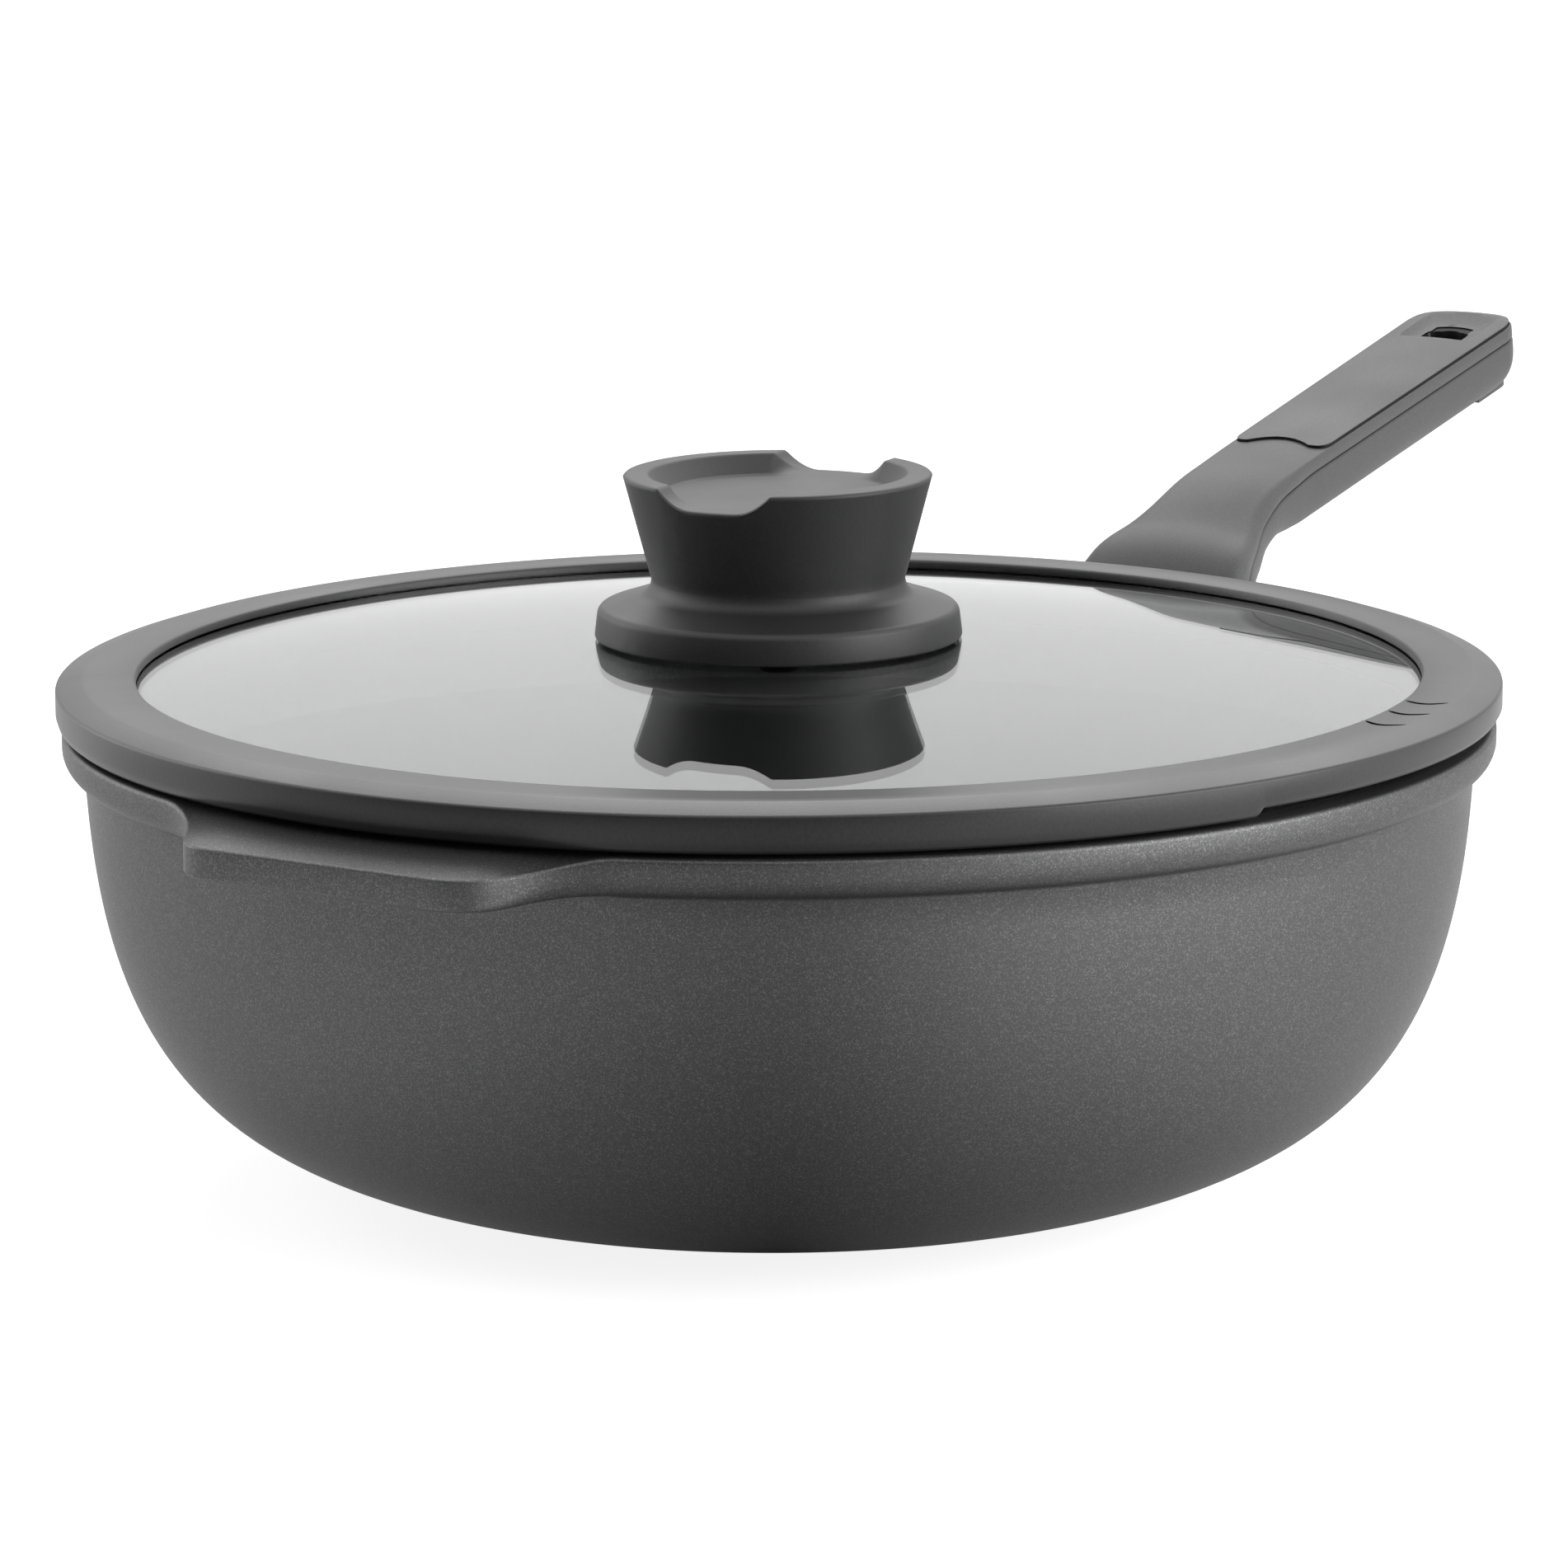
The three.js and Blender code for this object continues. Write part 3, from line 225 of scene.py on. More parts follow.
# Surface grain that every finish shares: fine pores, a few bright flakes among them, soft clouds of
# handling, and lighter edges that are partly rubbed wear and partly a painted highlight where rounded
# edges catch the light
grain, grain_in, grain_out = node_group(
    "surface grain",
    {"Pores per metre": 1500.0, "Clouds per metre": 25.0},
    ["Pores", "Flakes", "Clouds", "Edge wear and highlight"],
)
place = grain.nodes.new("ShaderNodeTexCoord")
pores = noise_node(grain, 1500, 2.0, 0.6)
clouds = noise_node(grain, 25, 4.0)
grain.links.new(place.outputs["Object"], pores.inputs["Vector"])
grain.links.new(place.outputs["Object"], clouds.inputs["Vector"])
grain.links.new(grain_in.outputs["Pores per metre"], pores.inputs["Scale"])
grain.links.new(grain_in.outputs["Clouds per metre"], clouds.inputs["Scale"])
pore_range = range_node(grain, 0.3, 0.7)
cloud_range = range_node(grain, 0.3, 0.7)
grain.links.new(pores.outputs["Fac"], pore_range.inputs["Value"])
grain.links.new(clouds.outputs["Fac"], cloud_range.inputs["Value"])
grain.links.new(pore_range.outputs["Result"], grain_out.inputs["Pores"])
grain.links.new(cloud_range.outputs["Result"], grain_out.inputs["Clouds"])
specks = grain.nodes.new("ShaderNodeTexVoronoi")
speck_pick = grain.nodes.new("ShaderNodeSeparateColor")
flake_range = range_node(grain, 0.7, 1.0)
grain.links.new(place.outputs["Object"], specks.inputs["Vector"])
grain.links.new(grain_in.outputs["Pores per metre"], specks.inputs["Scale"])
grain.links.new(specks.outputs["Color"], speck_pick.inputs["Color"])
grain.links.new(speck_pick.outputs["Red"], flake_range.inputs["Value"])
grain.links.new(flake_range.outputs["Result"], grain_out.inputs["Flakes"])
# Convex edges, found by pointiness and broken up by the clouds, are made lighter: partly rubbed wear,
# partly a painted highlight
shape = grain.nodes.new("ShaderNodeNewGeometry")
edge_range = range_node(grain, 0.53, 0.62)
edge_wear_and_highlight = grain.nodes.new("ShaderNodeMath")
edge_wear_and_highlight.operation = "MULTIPLY"
grain.links.new(shape.outputs["Pointiness"], edge_range.inputs["Value"])
grain.links.new(edge_range.outputs["Result"], edge_wear_and_highlight.inputs[0])
grain.links.new(cloud_range.outputs["Result"], edge_wear_and_highlight.inputs[1])
grain.links.new(edge_wear_and_highlight.outputs["Value"], grain_out.inputs["Edge wear and highlight"])


BUMP_STRENGTH = 0.4


class Finish:
    """A material with the shared grain, whose colour, roughness and bump are set in a few calls."""

    def __init__(self, name, pores_per_metre, clouds_per_metre):
        self.material = bpy.data.materials.new(name)
        self.material.use_nodes = True
        self.tree = self.material.node_tree
        self.shader = self.tree.nodes["Principled BSDF"]
        self.grain = self.tree.nodes.new("ShaderNodeGroup")
        self.grain.node_tree = grain
        self.grain.inputs["Pores per metre"].default_value = pores_per_metre
        self.grain.inputs["Clouds per metre"].default_value = clouds_per_metre

    def mask(self, label, low, high):
        """One of the grain's masks, brought to a range."""
        node = range_node(self.tree, 0, 1, low, high)
        self.tree.links.new(self.grain.outputs[label], node.inputs["Value"])
        return node.outputs["Result"]

    def tint(self, under, over, label, most=1.0):
        """A colour that goes from one to the other with one of the masks. Either may be a socket."""
        mix = self.tree.nodes.new("ShaderNodeMix")
        mix.data_type = "RGBA"
        for value, slot in ((under, mix.inputs[6]), (over, mix.inputs[7])):
            if isinstance(value, tuple):
                slot.default_value = (*value, 1)
            else:
                self.tree.links.new(value, slot)
        self.tree.links.new(self.mask(label, 0, most), mix.inputs[0])
        return mix.outputs[2]

    def colour(self, socket):
        self.tree.links.new(socket, self.shader.inputs["Base Color"])

    def roughness(self, label, low, high):
        self.tree.links.new(self.mask(label, low, high), self.shader.inputs["Roughness"])

    def bump(self, label, depth_mm):
        node = self.tree.nodes.new("ShaderNodeBump")
        node.inputs["Distance"].default_value = depth_mm * MM
        node.inputs["Strength"].default_value = BUMP_STRENGTH
        self.tree.links.new(self.grain.outputs[label], node.inputs["Height"])
        self.tree.links.new(node.outputs["Normal"], self.shader.inputs["Normal"])

    def set(self, **values):
        for label, value in values.items():
            self.shader.inputs[label.replace("_", " ").title().replace("Ior", "IOR")].default_value = value


def grey(level):
    """A neutral linear colour from an sRGB level of 0 to 255."""
    v = level / 255
    linear = v / 12.92 if v <= 0.04045 else ((v + 0.055) / 1.055) ** 2.4
    return (linear, linear, linear * 1.01)


coating = Finish("graphite coating", 4200, 18)
coat_pores = coating.tint(grey(74), grey(100), "Pores")
coat_body = coating.tint(coat_pores, grey(190), "Flakes", 0.2)
coat_cloud = coating.tint(coat_body, grey(104), "Clouds", 0.18)
# Lighter edges: partly rubbed wear, partly a painted highlight
coating.colour(coating.tint(coat_cloud, grey(150), "Edge wear and highlight", 0.5))
coating.roughness("Pores", 0.5, 0.42)
coating.bump("Pores", 0.02)
coating.set(metallic=0.7, specular_ior_level=0.4, specular_tint=(0.65, 0.65, 0.65, 1))
lining = Finish("non-stick lining", 2200, 16)
lining_body = lining.tint(grey(22), grey(32), "Pores")
lining.colour(lining.tint(lining_body, grey(38), "Clouds", 0.3))
lining.roughness("Clouds", 0.38, 0.5)
lining.bump("Pores", 0.02)
lining.set(specular_ior_level=0.3)
bowl.data.materials.append(coating.material)
bowl.data.materials.append(lining.material)
for face in bowl.data.polygons:
    middle = face.center / MM
    reach = math.hypot(middle.x, middle.y)
    outside = np.interp(middle.z, wall_outer[:, 1], wall_outer[:, 0])
    if FLOOR_TOP - 0.2 < middle.z and reach < outside - WALL / 2 and reach < RIM_RADIUS - 8:
        face.material_index = 1
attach(bowl, "wok")
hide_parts("wok_body")

# Induction disc
# A round magnetic-steel disc, pressed hot into the underside of the casting so that the bowl works on
# an induction hob. Its face is spun, which leaves fine rings.
DISC_THICKNESS = 2.4
disc_profile = [(0, 0)]
for ring in range(10, 69, 4):
    disc_profile += [(ring, 0), (ring + 0.25, 0.14), (ring + 0.75, 0.14), (ring + 1.0, 0)]
disc_profile += [(DISC_RADIUS - 0.4, 0), (DISC_RADIUS, 0.4)]
disc_profile += [(DISC_RADIUS, DISC_THICKNESS), (0, DISC_THICKNESS)]
disc = grid_piece("induction_disc", turned_rows(disc_profile, 180), around=True)
spun = Finish("spun steel", 2200, 40)
steel_tone = spun.tint((0.46, 0.46, 0.47), (0.6, 0.6, 0.61), "Pores")
spun.colour(spun.tint(steel_tone, (0.36, 0.35, 0.34), "Clouds", 0.4))
spun.roughness("Clouds", 0.26, 0.4)
spun.bump("Pores", 0.02)
spun.set(metallic=1.0)
disc.data.materials.append(spun.material)
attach(disc, "wok")
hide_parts("induction_base")

# Handle shells
# The long handle is two glass-filled nylon mouldings with a soft-touch paint, joined along a seam that
# runs down both sides. The foot fits over a cast lug on the bowl and wraps its wall.
NECK_SEAM = [
    (-24.0, -35.5, 23.0),
    (-9.0, -24.0, 23.0),
    (0.5, -14.0, 23.0),
    (5.5, -6.5, 22.4),
    (9.5, -0.8, 21.6),
    (14.8, 6.1, 19.2),
    (22.7, 10.5, 16.5),
    (29.6, 14.35, 14.4),
    (39.2, 18.6, 13.1),
    (48.8, 21.1, 12.4),
    (57.7, 23.2, 12.1),
]
HANDLE_REACH = 156.6
GRIP_SLOPE = math.radians(11.5)
SEAM_GAP = 0.3
SEAM_CHAMFER = 0.35
SEAM_RIDGE = 1.2
NECK_STEPS = 70
END_HALF = 13.1
END_CORNER = 9.5
END_BOW = 2.4
TOP_ROUND = 8.0
TOP_DROP = 2.6
LOW_ROUND = 14.0
LOW_RISE = 9.0
UPPER_EDGES = (8.0, 4.2, 3.4)
LOWER_DEPTHS = (12.5, 9.2, 12.6)
CROWNS = (1.6, 1.6, 0.7)
SHELL_CORNERS = (3.2, 3.2, 0.5)

grip_along = np.array([math.cos(GRIP_SLOPE), math.sin(GRIP_SLOPE)])
grip_up = np.array([-math.sin(GRIP_SLOPE), math.cos(GRIP_SLOPE)])
seam_points = [np.array([RIM_RADIUS + out, RIM_TOP + up]) for out, up, half in NECK_SEAM]
grip_start = seam_points[-1]
grip_length = (RIM_RADIUS + HANDLE_REACH - grip_start[0]) / math.cos(GRIP_SLOPE)
seam_points.append(grip_start + grip_along * grip_length / 2)
neck_halves = [half for out, up, half in NECK_SEAM]


def grip_half(along):
    """Half the grip's width, which grows towards the end."""
    return neck_halves[-1] + (END_HALF - neck_halves[-1]) * along / grip_length


def neck_half(place):
    """Half the neck's width, eased through the widths of the seam points."""
    widths = neck_halves + [grip_half(grip_length / 2)]
    i = min(int(place), len(widths) - 2)
    a, b, c, d = (widths[min(max(0, i + k), len(widths) - 1)] for k in (-1, 0, 1, 2))
    leave, enter = (c - a) / 2, (d - b) / 2
    t = place - i
    square = 3 * (c - b) - 2 * leave - enter
    cube = 2 * (b - c) + leave + enter
    return b + leave * t + square * t * t + cube * t ** 3


def seam_at(place):
    """A point on the seam's curve, which passes through every seam point in turn."""
    i = min(int(place), len(seam_points) - 2)
    b, c = seam_points[i], seam_points[i + 1]
    a = seam_points[i - 1] if i else 2 * b - c
    d = seam_points[i + 2] if i + 2 < len(seam_points) else 2 * c - b
    ab, bc, cd = (math.sqrt(np.linalg.norm(q - p)) for p, q in ((a, b), (b, c), (c, d)))
    leave = ((b - a) / ab - (c - a) / (ab + bc) + (c - b) / bc) * bc
    enter = ((c - b) / bc - (d - b) / (bc + cd) + (d - c) / cd) * bc
    t = place - i
    square = -3 * b + 3 * c - 2 * leave - enter
    cube = 2 * b - 2 * c + leave + enter
    return b + leave * t + square * t * t + cube * t ** 3


NECK_SPANS = len(NECK_SEAM) - 1


def seam_share(out):
    """How far along the neck the seam is a given distance out from the rim."""
    places = np.linspace(0, 1, 2000)
    reach = [seam_at(p * NECK_SPANS)[0] - RIM_RADIUS for p in places]
    return float(np.interp(out, reach, places))


foot_share = seam_share(0)
bend_share = seam_share(NECK_SEAM[7][0])


def eased(share, sizes):
    """A size that eases from the foot, past the bend, to the grip."""
    foot, bend, grip = sizes
    if share < bend_share:
        return foot + (bend - foot) * smooth(share, foot_share, bend_share)
    return bend + (grip - bend) * smooth(share, bend_share, 1)


def curve3(a, b, c, count):
    t = np.linspace(0, 1, count)[:, None]
    return (1 - t) ** 2 * np.array(a) + 2 * t * (1 - t) * np.array(b) + t * t * np.array(c)


def round_end(end, side, corner):
    """Half of a rounded end's plan, from the straight side to the middle of the tip."""
    shoulder = (end - END_BOW / 2, side - corner)
    turn = curve3((end - corner - END_BOW, side), (end - END_BOW, side), shoulder, 26)
    nose = curve3(shoulder, (end - END_BOW / 4, shoulder[1] / 2), (end - END_BOW / 4, 0.02), 8)
    return np.vstack([turn, nose[1:]])


def rounded_over(along, length):
    """How far the grip's end has rounded over, from 0 to 1 at the tip."""
    past = min(1.0, max(0.0, along - grip_length + length) / length)
    return 1 - math.sqrt(1 - past * past)


def grip_station(along, half):
    at = grip_start + grip_along * along
    return (at, grip_along, 1.0, rounded_over(along, TOP_ROUND), rounded_over(along, LOW_ROUND), half)


handle_stations = []
for i in range(NECK_STEPS):
    share = i / NECK_STEPS
    place = share * NECK_SPANS
    ahead = seam_at(place + 0.01) - seam_at(max(0, place - 0.01))
    handle_stations.append((seam_at(place), ahead / np.linalg.norm(ahead), share, 0, 0, neck_half(place)))
tip = round_end(grip_length, END_HALF, END_CORNER)
handle_stations += [grip_station(s, grip_half(s)) for s in np.linspace(0, tip[0][0], 30)[:-1]]
handle_stations += [grip_station(s, min(w, grip_half(s))) for s, w in tip]


def upper_outline(share, over_top, over_low, half):
    """The upper half, with a crowned top and a chamfer along the seam."""
    edge = eased(share, UPPER_EDGES) - TOP_DROP * over_top
    crown = eased(share, CROWNS)
    corner = min(eased(share, SHELL_CORNERS), edge - 0.3, half * 0.45)
    flat = half - corner
    low = SEAM_GAP / 2
    side = [(half - SEAM_CHAMFER * min(1, half), low), (half, low + SEAM_CHAMFER)]
    side += arc((flat, edge - corner), (corner, corner), 0, 90, 7)
    top = [(flat * x, edge + crown * (1 - x * x)) for x in np.linspace(1, -1, 25)[1:-1]]
    other = [(-w, h) for w, h in side[::-1]]
    return side + top + other


def lower_outline(share, over_top, over_low, half):
    """The lower half, with a ridge on its seam that closes the gap behind the groove."""
    depth = eased(share, LOWER_DEPTHS) - LOW_RISE * over_low
    low = SEAM_GAP / 2
    ridge = half - min(SEAM_RIDGE, 0.4 * half)
    side = half - SEAM_CHAMFER * min(1, half)
    belly = low + SEAM_CHAMFER
    points = [(-ridge, low - 0.01), (-ridge, -low), (-side, -low)]
    for a in np.linspace(math.pi, 2 * math.pi, 37):
        reach = math.copysign(abs(math.cos(a)) ** (2 / 3), math.cos(a))
        points.append((half * reach, -belly - (depth - belly) * abs(math.sin(a)) ** (2 / 3)))
    return points + [(side, -low), (ridge, -low), (ridge, low - 0.01)]


def along_handle(outline, stations):
    """Outlines drawn square to the seam at each station, as rows of points."""
    rows = []
    for at, ahead, share, over_top, over_low, half in stations:
        up = np.array([-ahead[1], ahead[0]])
        rows.append(
            [
                (at[0] + up[0] * h, w, at[1] + up[1] * h)
                for w, h in outline(share, over_top, over_low, half)
            ]
        )
    return rows


def applied(piece):
    """Keeps the result of a piece's modifiers as its mesh."""
    result = bpy.data.meshes.new_from_object(piece.evaluated_get(bpy.context.evaluated_depsgraph_get()))
    piece.modifiers.clear()
    piece.data = result


def shaped(piece, tool, operation="DIFFERENCE"):
    """Cuts or joins a piece with a tool, keeps the result as its mesh, and drops the tool."""
    step = piece.modifiers.new("shape", "BOOLEAN")
    step.operation = operation
    step.solver = "EXACT"
    step.object = tool
    applied(piece)
    bpy.data.objects.remove(tool)


def grip_level(plan, height):
    """A plan in the grip's own plane, at a height over the seam."""
    base = grip_start + grip_up * height
    return [(base[0] + grip_along[0] * s, w, base[1] + grip_along[1] * s) for s, w in plan]


def grip_block(name, plan, low, high):
    """A plan in the grip's own plane, pushed through the grip from low to high."""
    return grid_piece(name, [grip_level(plan, low), grip_level(plan, high)], around=False)


def soft_edges(piece, width, angle=38):
    """Rounds the crisp edges that moulding leaves soft, and keeps broad faces smooth."""
    step = piece.modifiers.new("soft edges", "BEVEL")
    step.width = width * MM
    step.segments = 2
    step.limit_method = "ANGLE"
    step.angle_limit = math.radians(angle)
    step.use_clamp_overlap = True
    applied(piece)
    piece.data.shade_smooth()
    piece.data.set_sharp_from_angle(angle=math.radians(50))


PLUG_GROWTH = 0.3


def bowl_plug():
    """The outside of the bowl, a little grown, to fit the handle's foot to the wall."""
    normals = np.stack([wall_along[:, 1], -wall_along[:, 0]], axis=1)
    skin = [tuple(p) for p in wall_outer + PLUG_GROWTH * normals]
    reach = (RIM_LEDGE + PLUG_GROWTH, RIM_UNDERCUT + PLUG_GROWTH)
    band = arc((RIM_RADIUS - RIM_LEDGE, RIM_FOOT + RIM_UNDERCUT), reach, -80, 0, 7)
    rim = [(RIM_RADIUS + PLUG_GROWTH, RIM_TOP), (0, RIM_TOP)]
    profile = [(0, skin[0][1])] + skin[:-1] + band + rim
    return grid_piece("plug", turned_rows(profile, 256), around=True)


# Hanging hole near the grip's end, a rounded rectangle that is arched towards the end
HOLE_FROM_END = 12.6
HOLE_LENGTH = 9.2
HOLE_FAR = grip_length - HOLE_FROM_END
HOLE_NEAR = HOLE_FAR - HOLE_LENGTH
HOLE_HALF = 5.4
HOLE_CORNER = 3.0
HOLE_ARCH = 0.8


def both_sides(side):
    """Half of a plan, from one middle point to the other, with its mirror image."""
    half = [tuple(p) for p in side]
    return half + [(s, -w) for s, w in half[-2:0:-1]]


def hole_plan():
    near, half, corner = HOLE_NEAR, HOLE_HALF, HOLE_CORNER
    spring = HOLE_FAR - HOLE_ARCH
    front = curve3((near, 0), (near, (half - corner) / 2), (near, half - corner), 3)[:-1]
    near_turn = curve3((near, half - corner), (near, half), (near + corner, half), 9)
    far_turn = curve3((spring - corner, half), (spring, half), (spring, half - corner), 9)
    arch = curve3((spring, half - corner), (HOLE_FAR, (half - corner) / 2), (HOLE_FAR, 0), 6)[1:]
    return both_sides(np.vstack([front, near_turn, far_turn, arch]))


# Scoop round the hole, as its size at the floor and how much it opens towards the top
SCOOP_CORNER = 2.2
SCOOP_NEAR = (0.7, 0.8)
SCOOP_FAR = (1.2, 10.0)
SCOOP_HALF = (6.0, 4.2)
SCOOP_LEVEL = (2.9, 2.3)


def scoop_plan(near, far, half):
    corner = SCOOP_CORNER
    front = curve3((near, 0), (near, (half - corner) / 2), (near, half - corner), 3)[:-1]
    near_turn = curve3((near, half - corner), (near, half), (near + corner, half), 7)
    far_turn = curve3((far - corner, half), (far, half), (far, half - corner), 7)
    back = curve3((far, half - corner), (far, (half - corner) / 2), (far, 0), 3)[1:]
    return both_sides(np.vstack([front, near_turn, far_turn, back]))


def scoop():
    """The shallow scoop round the hole, steep in front and with a long slope towards the end."""
    rows = []
    for k in np.linspace(0, 1, 9):
        slope = k ** 0.75
        near = HOLE_NEAR - SCOOP_NEAR[0] - SCOOP_NEAR[1] * slope
        far = HOLE_FAR + SCOOP_FAR[0] + SCOOP_FAR[1] * slope
        half = SCOOP_HALF[0] + SCOOP_HALF[1] * slope
        rows.append(grip_level(scoop_plan(near, far, half), SCOOP_LEVEL[0] + SCOOP_LEVEL[1] * k))
    return grid_piece("scoop", rows, around=False)


# Plan of the soft pad, with a hollow front edge. It stands a little proud of the shell.
PAD_FRONT = 4.0
PAD_BOW = 2.7
PAD_MARGIN = 0.3
PAD_EDGE = 4.0
PAD_CORNER = 4.0
PAD_THICK = 1.7
PAD_GAP = 0.15
POCKET_DEPTH = 2.0
CUT_THROUGH = 20


def pad_plan(inset):
    margin = PAD_MARGIN + inset
    front = PAD_FRONT + inset
    front_half = grip_half(front) - margin
    end = grip_length - margin
    corner = END_CORNER - margin
    end_half = grip_half(end - corner) - margin
    turn_from = (front, front_half - PAD_CORNER)
    hollow = curve3((front + PAD_BOW, 0), (front + PAD_BOW, turn_from[1] / 2), turn_from, 9)[:-1]
    turn = curve3(turn_from, (front, front_half), (front + PAD_CORNER, front_half), 9)
    tip_end = round_end(end, end_half, corner)
    tip_end[-1][1] = 0
    return both_sides(np.vstack([hollow, turn, tip_end]))


def pad_slab(name, sunk, raised):
    """A slab that follows the grip's crowned top, from below its surface to above it."""
    def outline(share, over_top, over_low, half):
        edge = PAD_EDGE - TOP_DROP * over_top
        flat = half - 0.2 * min(1, half)
        line = [(flat * x, edge + CROWNS[2] * (1 - x * x)) for x in np.linspace(-1, 1, 25)]
        low = [(w, h - sunk) for w, h in line]
        high = [(w, h + raised) for w, h in line[::-1]]
        return low + high
    stations = [grip_station(s, grip_half(s)) for s in np.linspace(-2, grip_length - 0.4, 60)]
    return grid_piece(name, along_handle(outline, stations), around=False)


def on_pad_side(face):
    """Whether a face is the pad's outer side, where the shade of the gap that runs round it is painted
    dark.
    """
    from_start = np.array([face.center.x / MM, face.center.z / MM]) - grip_start
    along = from_start @ grip_along
    level = face.normal.x * grip_up[0] + face.normal.z * grip_up[1]
    in_hole = HOLE_NEAR - 3 < along < HOLE_FAR + 1 and abs(face.center.y) / MM < HOLE_HALF + 4
    return abs(level) < 0.35 and not in_hole


def in_pocket(face):
    """Whether a face of the shell lies in the pad's pocket, where the shade of the recess is painted dark.
    """
    spot, normal = face.center, face.normal
    from_start = np.array([spot.x / MM, spot.z / MM]) - grip_start
    along, height = from_start @ grip_along, from_start @ grip_up
    half = max(1.0, grip_half(along))
    edge = UPPER_EDGES[2] - TOP_DROP * rounded_over(along, TOP_ROUND)
    surface = edge + CROWNS[2] * (1 - (spot.y / MM / half) ** 2)
    inside = along > PAD_FRONT - 0.1 and abs(spot.y) / MM < half - PAD_MARGIN + 0.1
    outward = math.copysign(normal.y, normal.y * spot.y)
    if along > HOLE_FAR:
        outward += max(0, normal.x * grip_along[0] + normal.z * grip_along[1])
    return inside and outward < 0.2 and edge - POCKET_DEPTH - 0.1 < height < surface - 0.35


upper_shell = grid_piece("handle_upper", along_handle(upper_outline, handle_stations), around=False)
pocket = pad_slab("pocket", POCKET_DEPTH, 3.0)
shaped(pocket, grip_block("pocket_plan", pad_plan(0), -1, 12), "INTERSECT")
shaped(upper_shell, pocket)
shaped(upper_shell, grip_block("hole", hole_plan(), -CUT_THROUGH, CUT_THROUGH))
shaped(upper_shell, bowl_plug())
soft_edges(upper_shell, 0.3)

lower_shell = grid_piece("handle_lower", along_handle(lower_outline, handle_stations), around=False)
TONGUE_HALF = 8.0
TONGUE_LENGTH = 16
TONGUE_CORNER = 5
TONGUE_TIP = grip_length - 1.7
TONGUE_LEVELS = (-12.55, -11.3)
tongue_turn = curve3(
    (TONGUE_TIP - TONGUE_CORNER, TONGUE_HALF),
    (TONGUE_TIP, TONGUE_HALF),
    (TONGUE_TIP, TONGUE_HALF - TONGUE_CORNER),
    8,
)
tongue_side = [(TONGUE_TIP - TONGUE_LENGTH, TONGUE_HALF)] + [tuple(p) for p in tongue_turn]
tongue_plan = tongue_side + [(s, -w) for s, w in tongue_side[::-1]]
shaped(lower_shell, grip_block("tongue", tongue_plan, *TONGUE_LEVELS), "UNION")
shaped(lower_shell, grip_block("hole", hole_plan(), -CUT_THROUGH, CUT_THROUGH))
shaped(lower_shell, bowl_plug())


def square_to_seam(at, ahead):
    """Places a turned tool or piece with its axis square to the seam."""
    up = (-ahead[1], ahead[0])
    return Matrix(
        (
            (ahead[0], 0, up[0], at[0] * MM),
            (0, 1, 0, 0),
            (ahead[1], 0, up[1], at[1] * MM),
            (0, 0, 0, 1),
        )
    )


def turned_piece(name, profile, turns, place):
    piece = grid_piece(name, turned_rows(profile, turns), around=True)
    piece.data.transform(place)
    return piece


BOLT_OUT = 3
bolt_share = seam_share(BOLT_OUT)
bolt_at = seam_at(bolt_share * NECK_SPANS)
bolt_ahead = seam_at(bolt_share * NECK_SPANS + 0.01) - seam_at(bolt_share * NECK_SPANS - 0.01)
bolt_place = square_to_seam(bolt_at, bolt_ahead / np.linalg.norm(bolt_ahead))
SCREW_MARKS = (12, HOLE_NEAR - 16)
screw_places = [square_to_seam(grip_start + grip_along * s, grip_along) for s in SCREW_MARKS]
BOLT_SEAT = -6.8
BOLT_WELL = 5.7
SCREW_SEAT = -5.4
SCREW_WELL = 3.2
WELL_MOUTH = -30


def well_section(radius, seat):
    return [(0, WELL_MOUTH), (radius, WELL_MOUTH), (radius, seat), (0, seat)]


shaped(lower_shell, turned_piece("bolt_well", well_section(BOLT_WELL, BOLT_SEAT), 48, bolt_place))
for place in screw_places:
    shaped(lower_shell, turned_piece("screw_well", well_section(SCREW_WELL, SCREW_SEAT), 40, place))
soft_edges(lower_shell, 0.3)

soft_touch = Finish("soft-touch shell", 1800, 30)
shell_tone = soft_touch.tint(grey(76), grey(88), "Pores")
shell_cloud = soft_touch.tint(shell_tone, grey(94), "Clouds", 0.35)
# Lighter edges: partly rubbed wear, partly a painted highlight
soft_touch.colour(soft_touch.tint(shell_cloud, grey(108), "Edge wear and highlight", 0.4))
soft_touch.roughness("Clouds", 0.5, 0.6)
soft_touch.bump("Pores", 0.02)
soft_touch.set(specular_ior_level=0.35)
# A dark finish painted as shade on the faces in the pad's pocket and on the pad's sides, where the gap
# round the pad lies in shadow
gap_shade = Finish("painted gap shade", 1800, 30)
gap_shade.colour(gap_shade.tint(grey(22), grey(30), "Pores"))
gap_shade.roughness("Clouds", 0.6, 0.7)
gap_shade.set(specular_ior_level=0.2)
for shell, node in ((upper_shell, "handle_upper_shell"), (lower_shell, "handle_lower_shell")):
    shell.data.materials.clear()
    shell.data.materials.append(soft_touch.material)
    shell.data.materials.append(gap_shade.material)
    # Faces in the pad's pocket take the painted shade
    for face in shell.data.polygons:
        face.material_index = int(in_pocket(face))
    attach(shell, "wok")
    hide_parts(node)

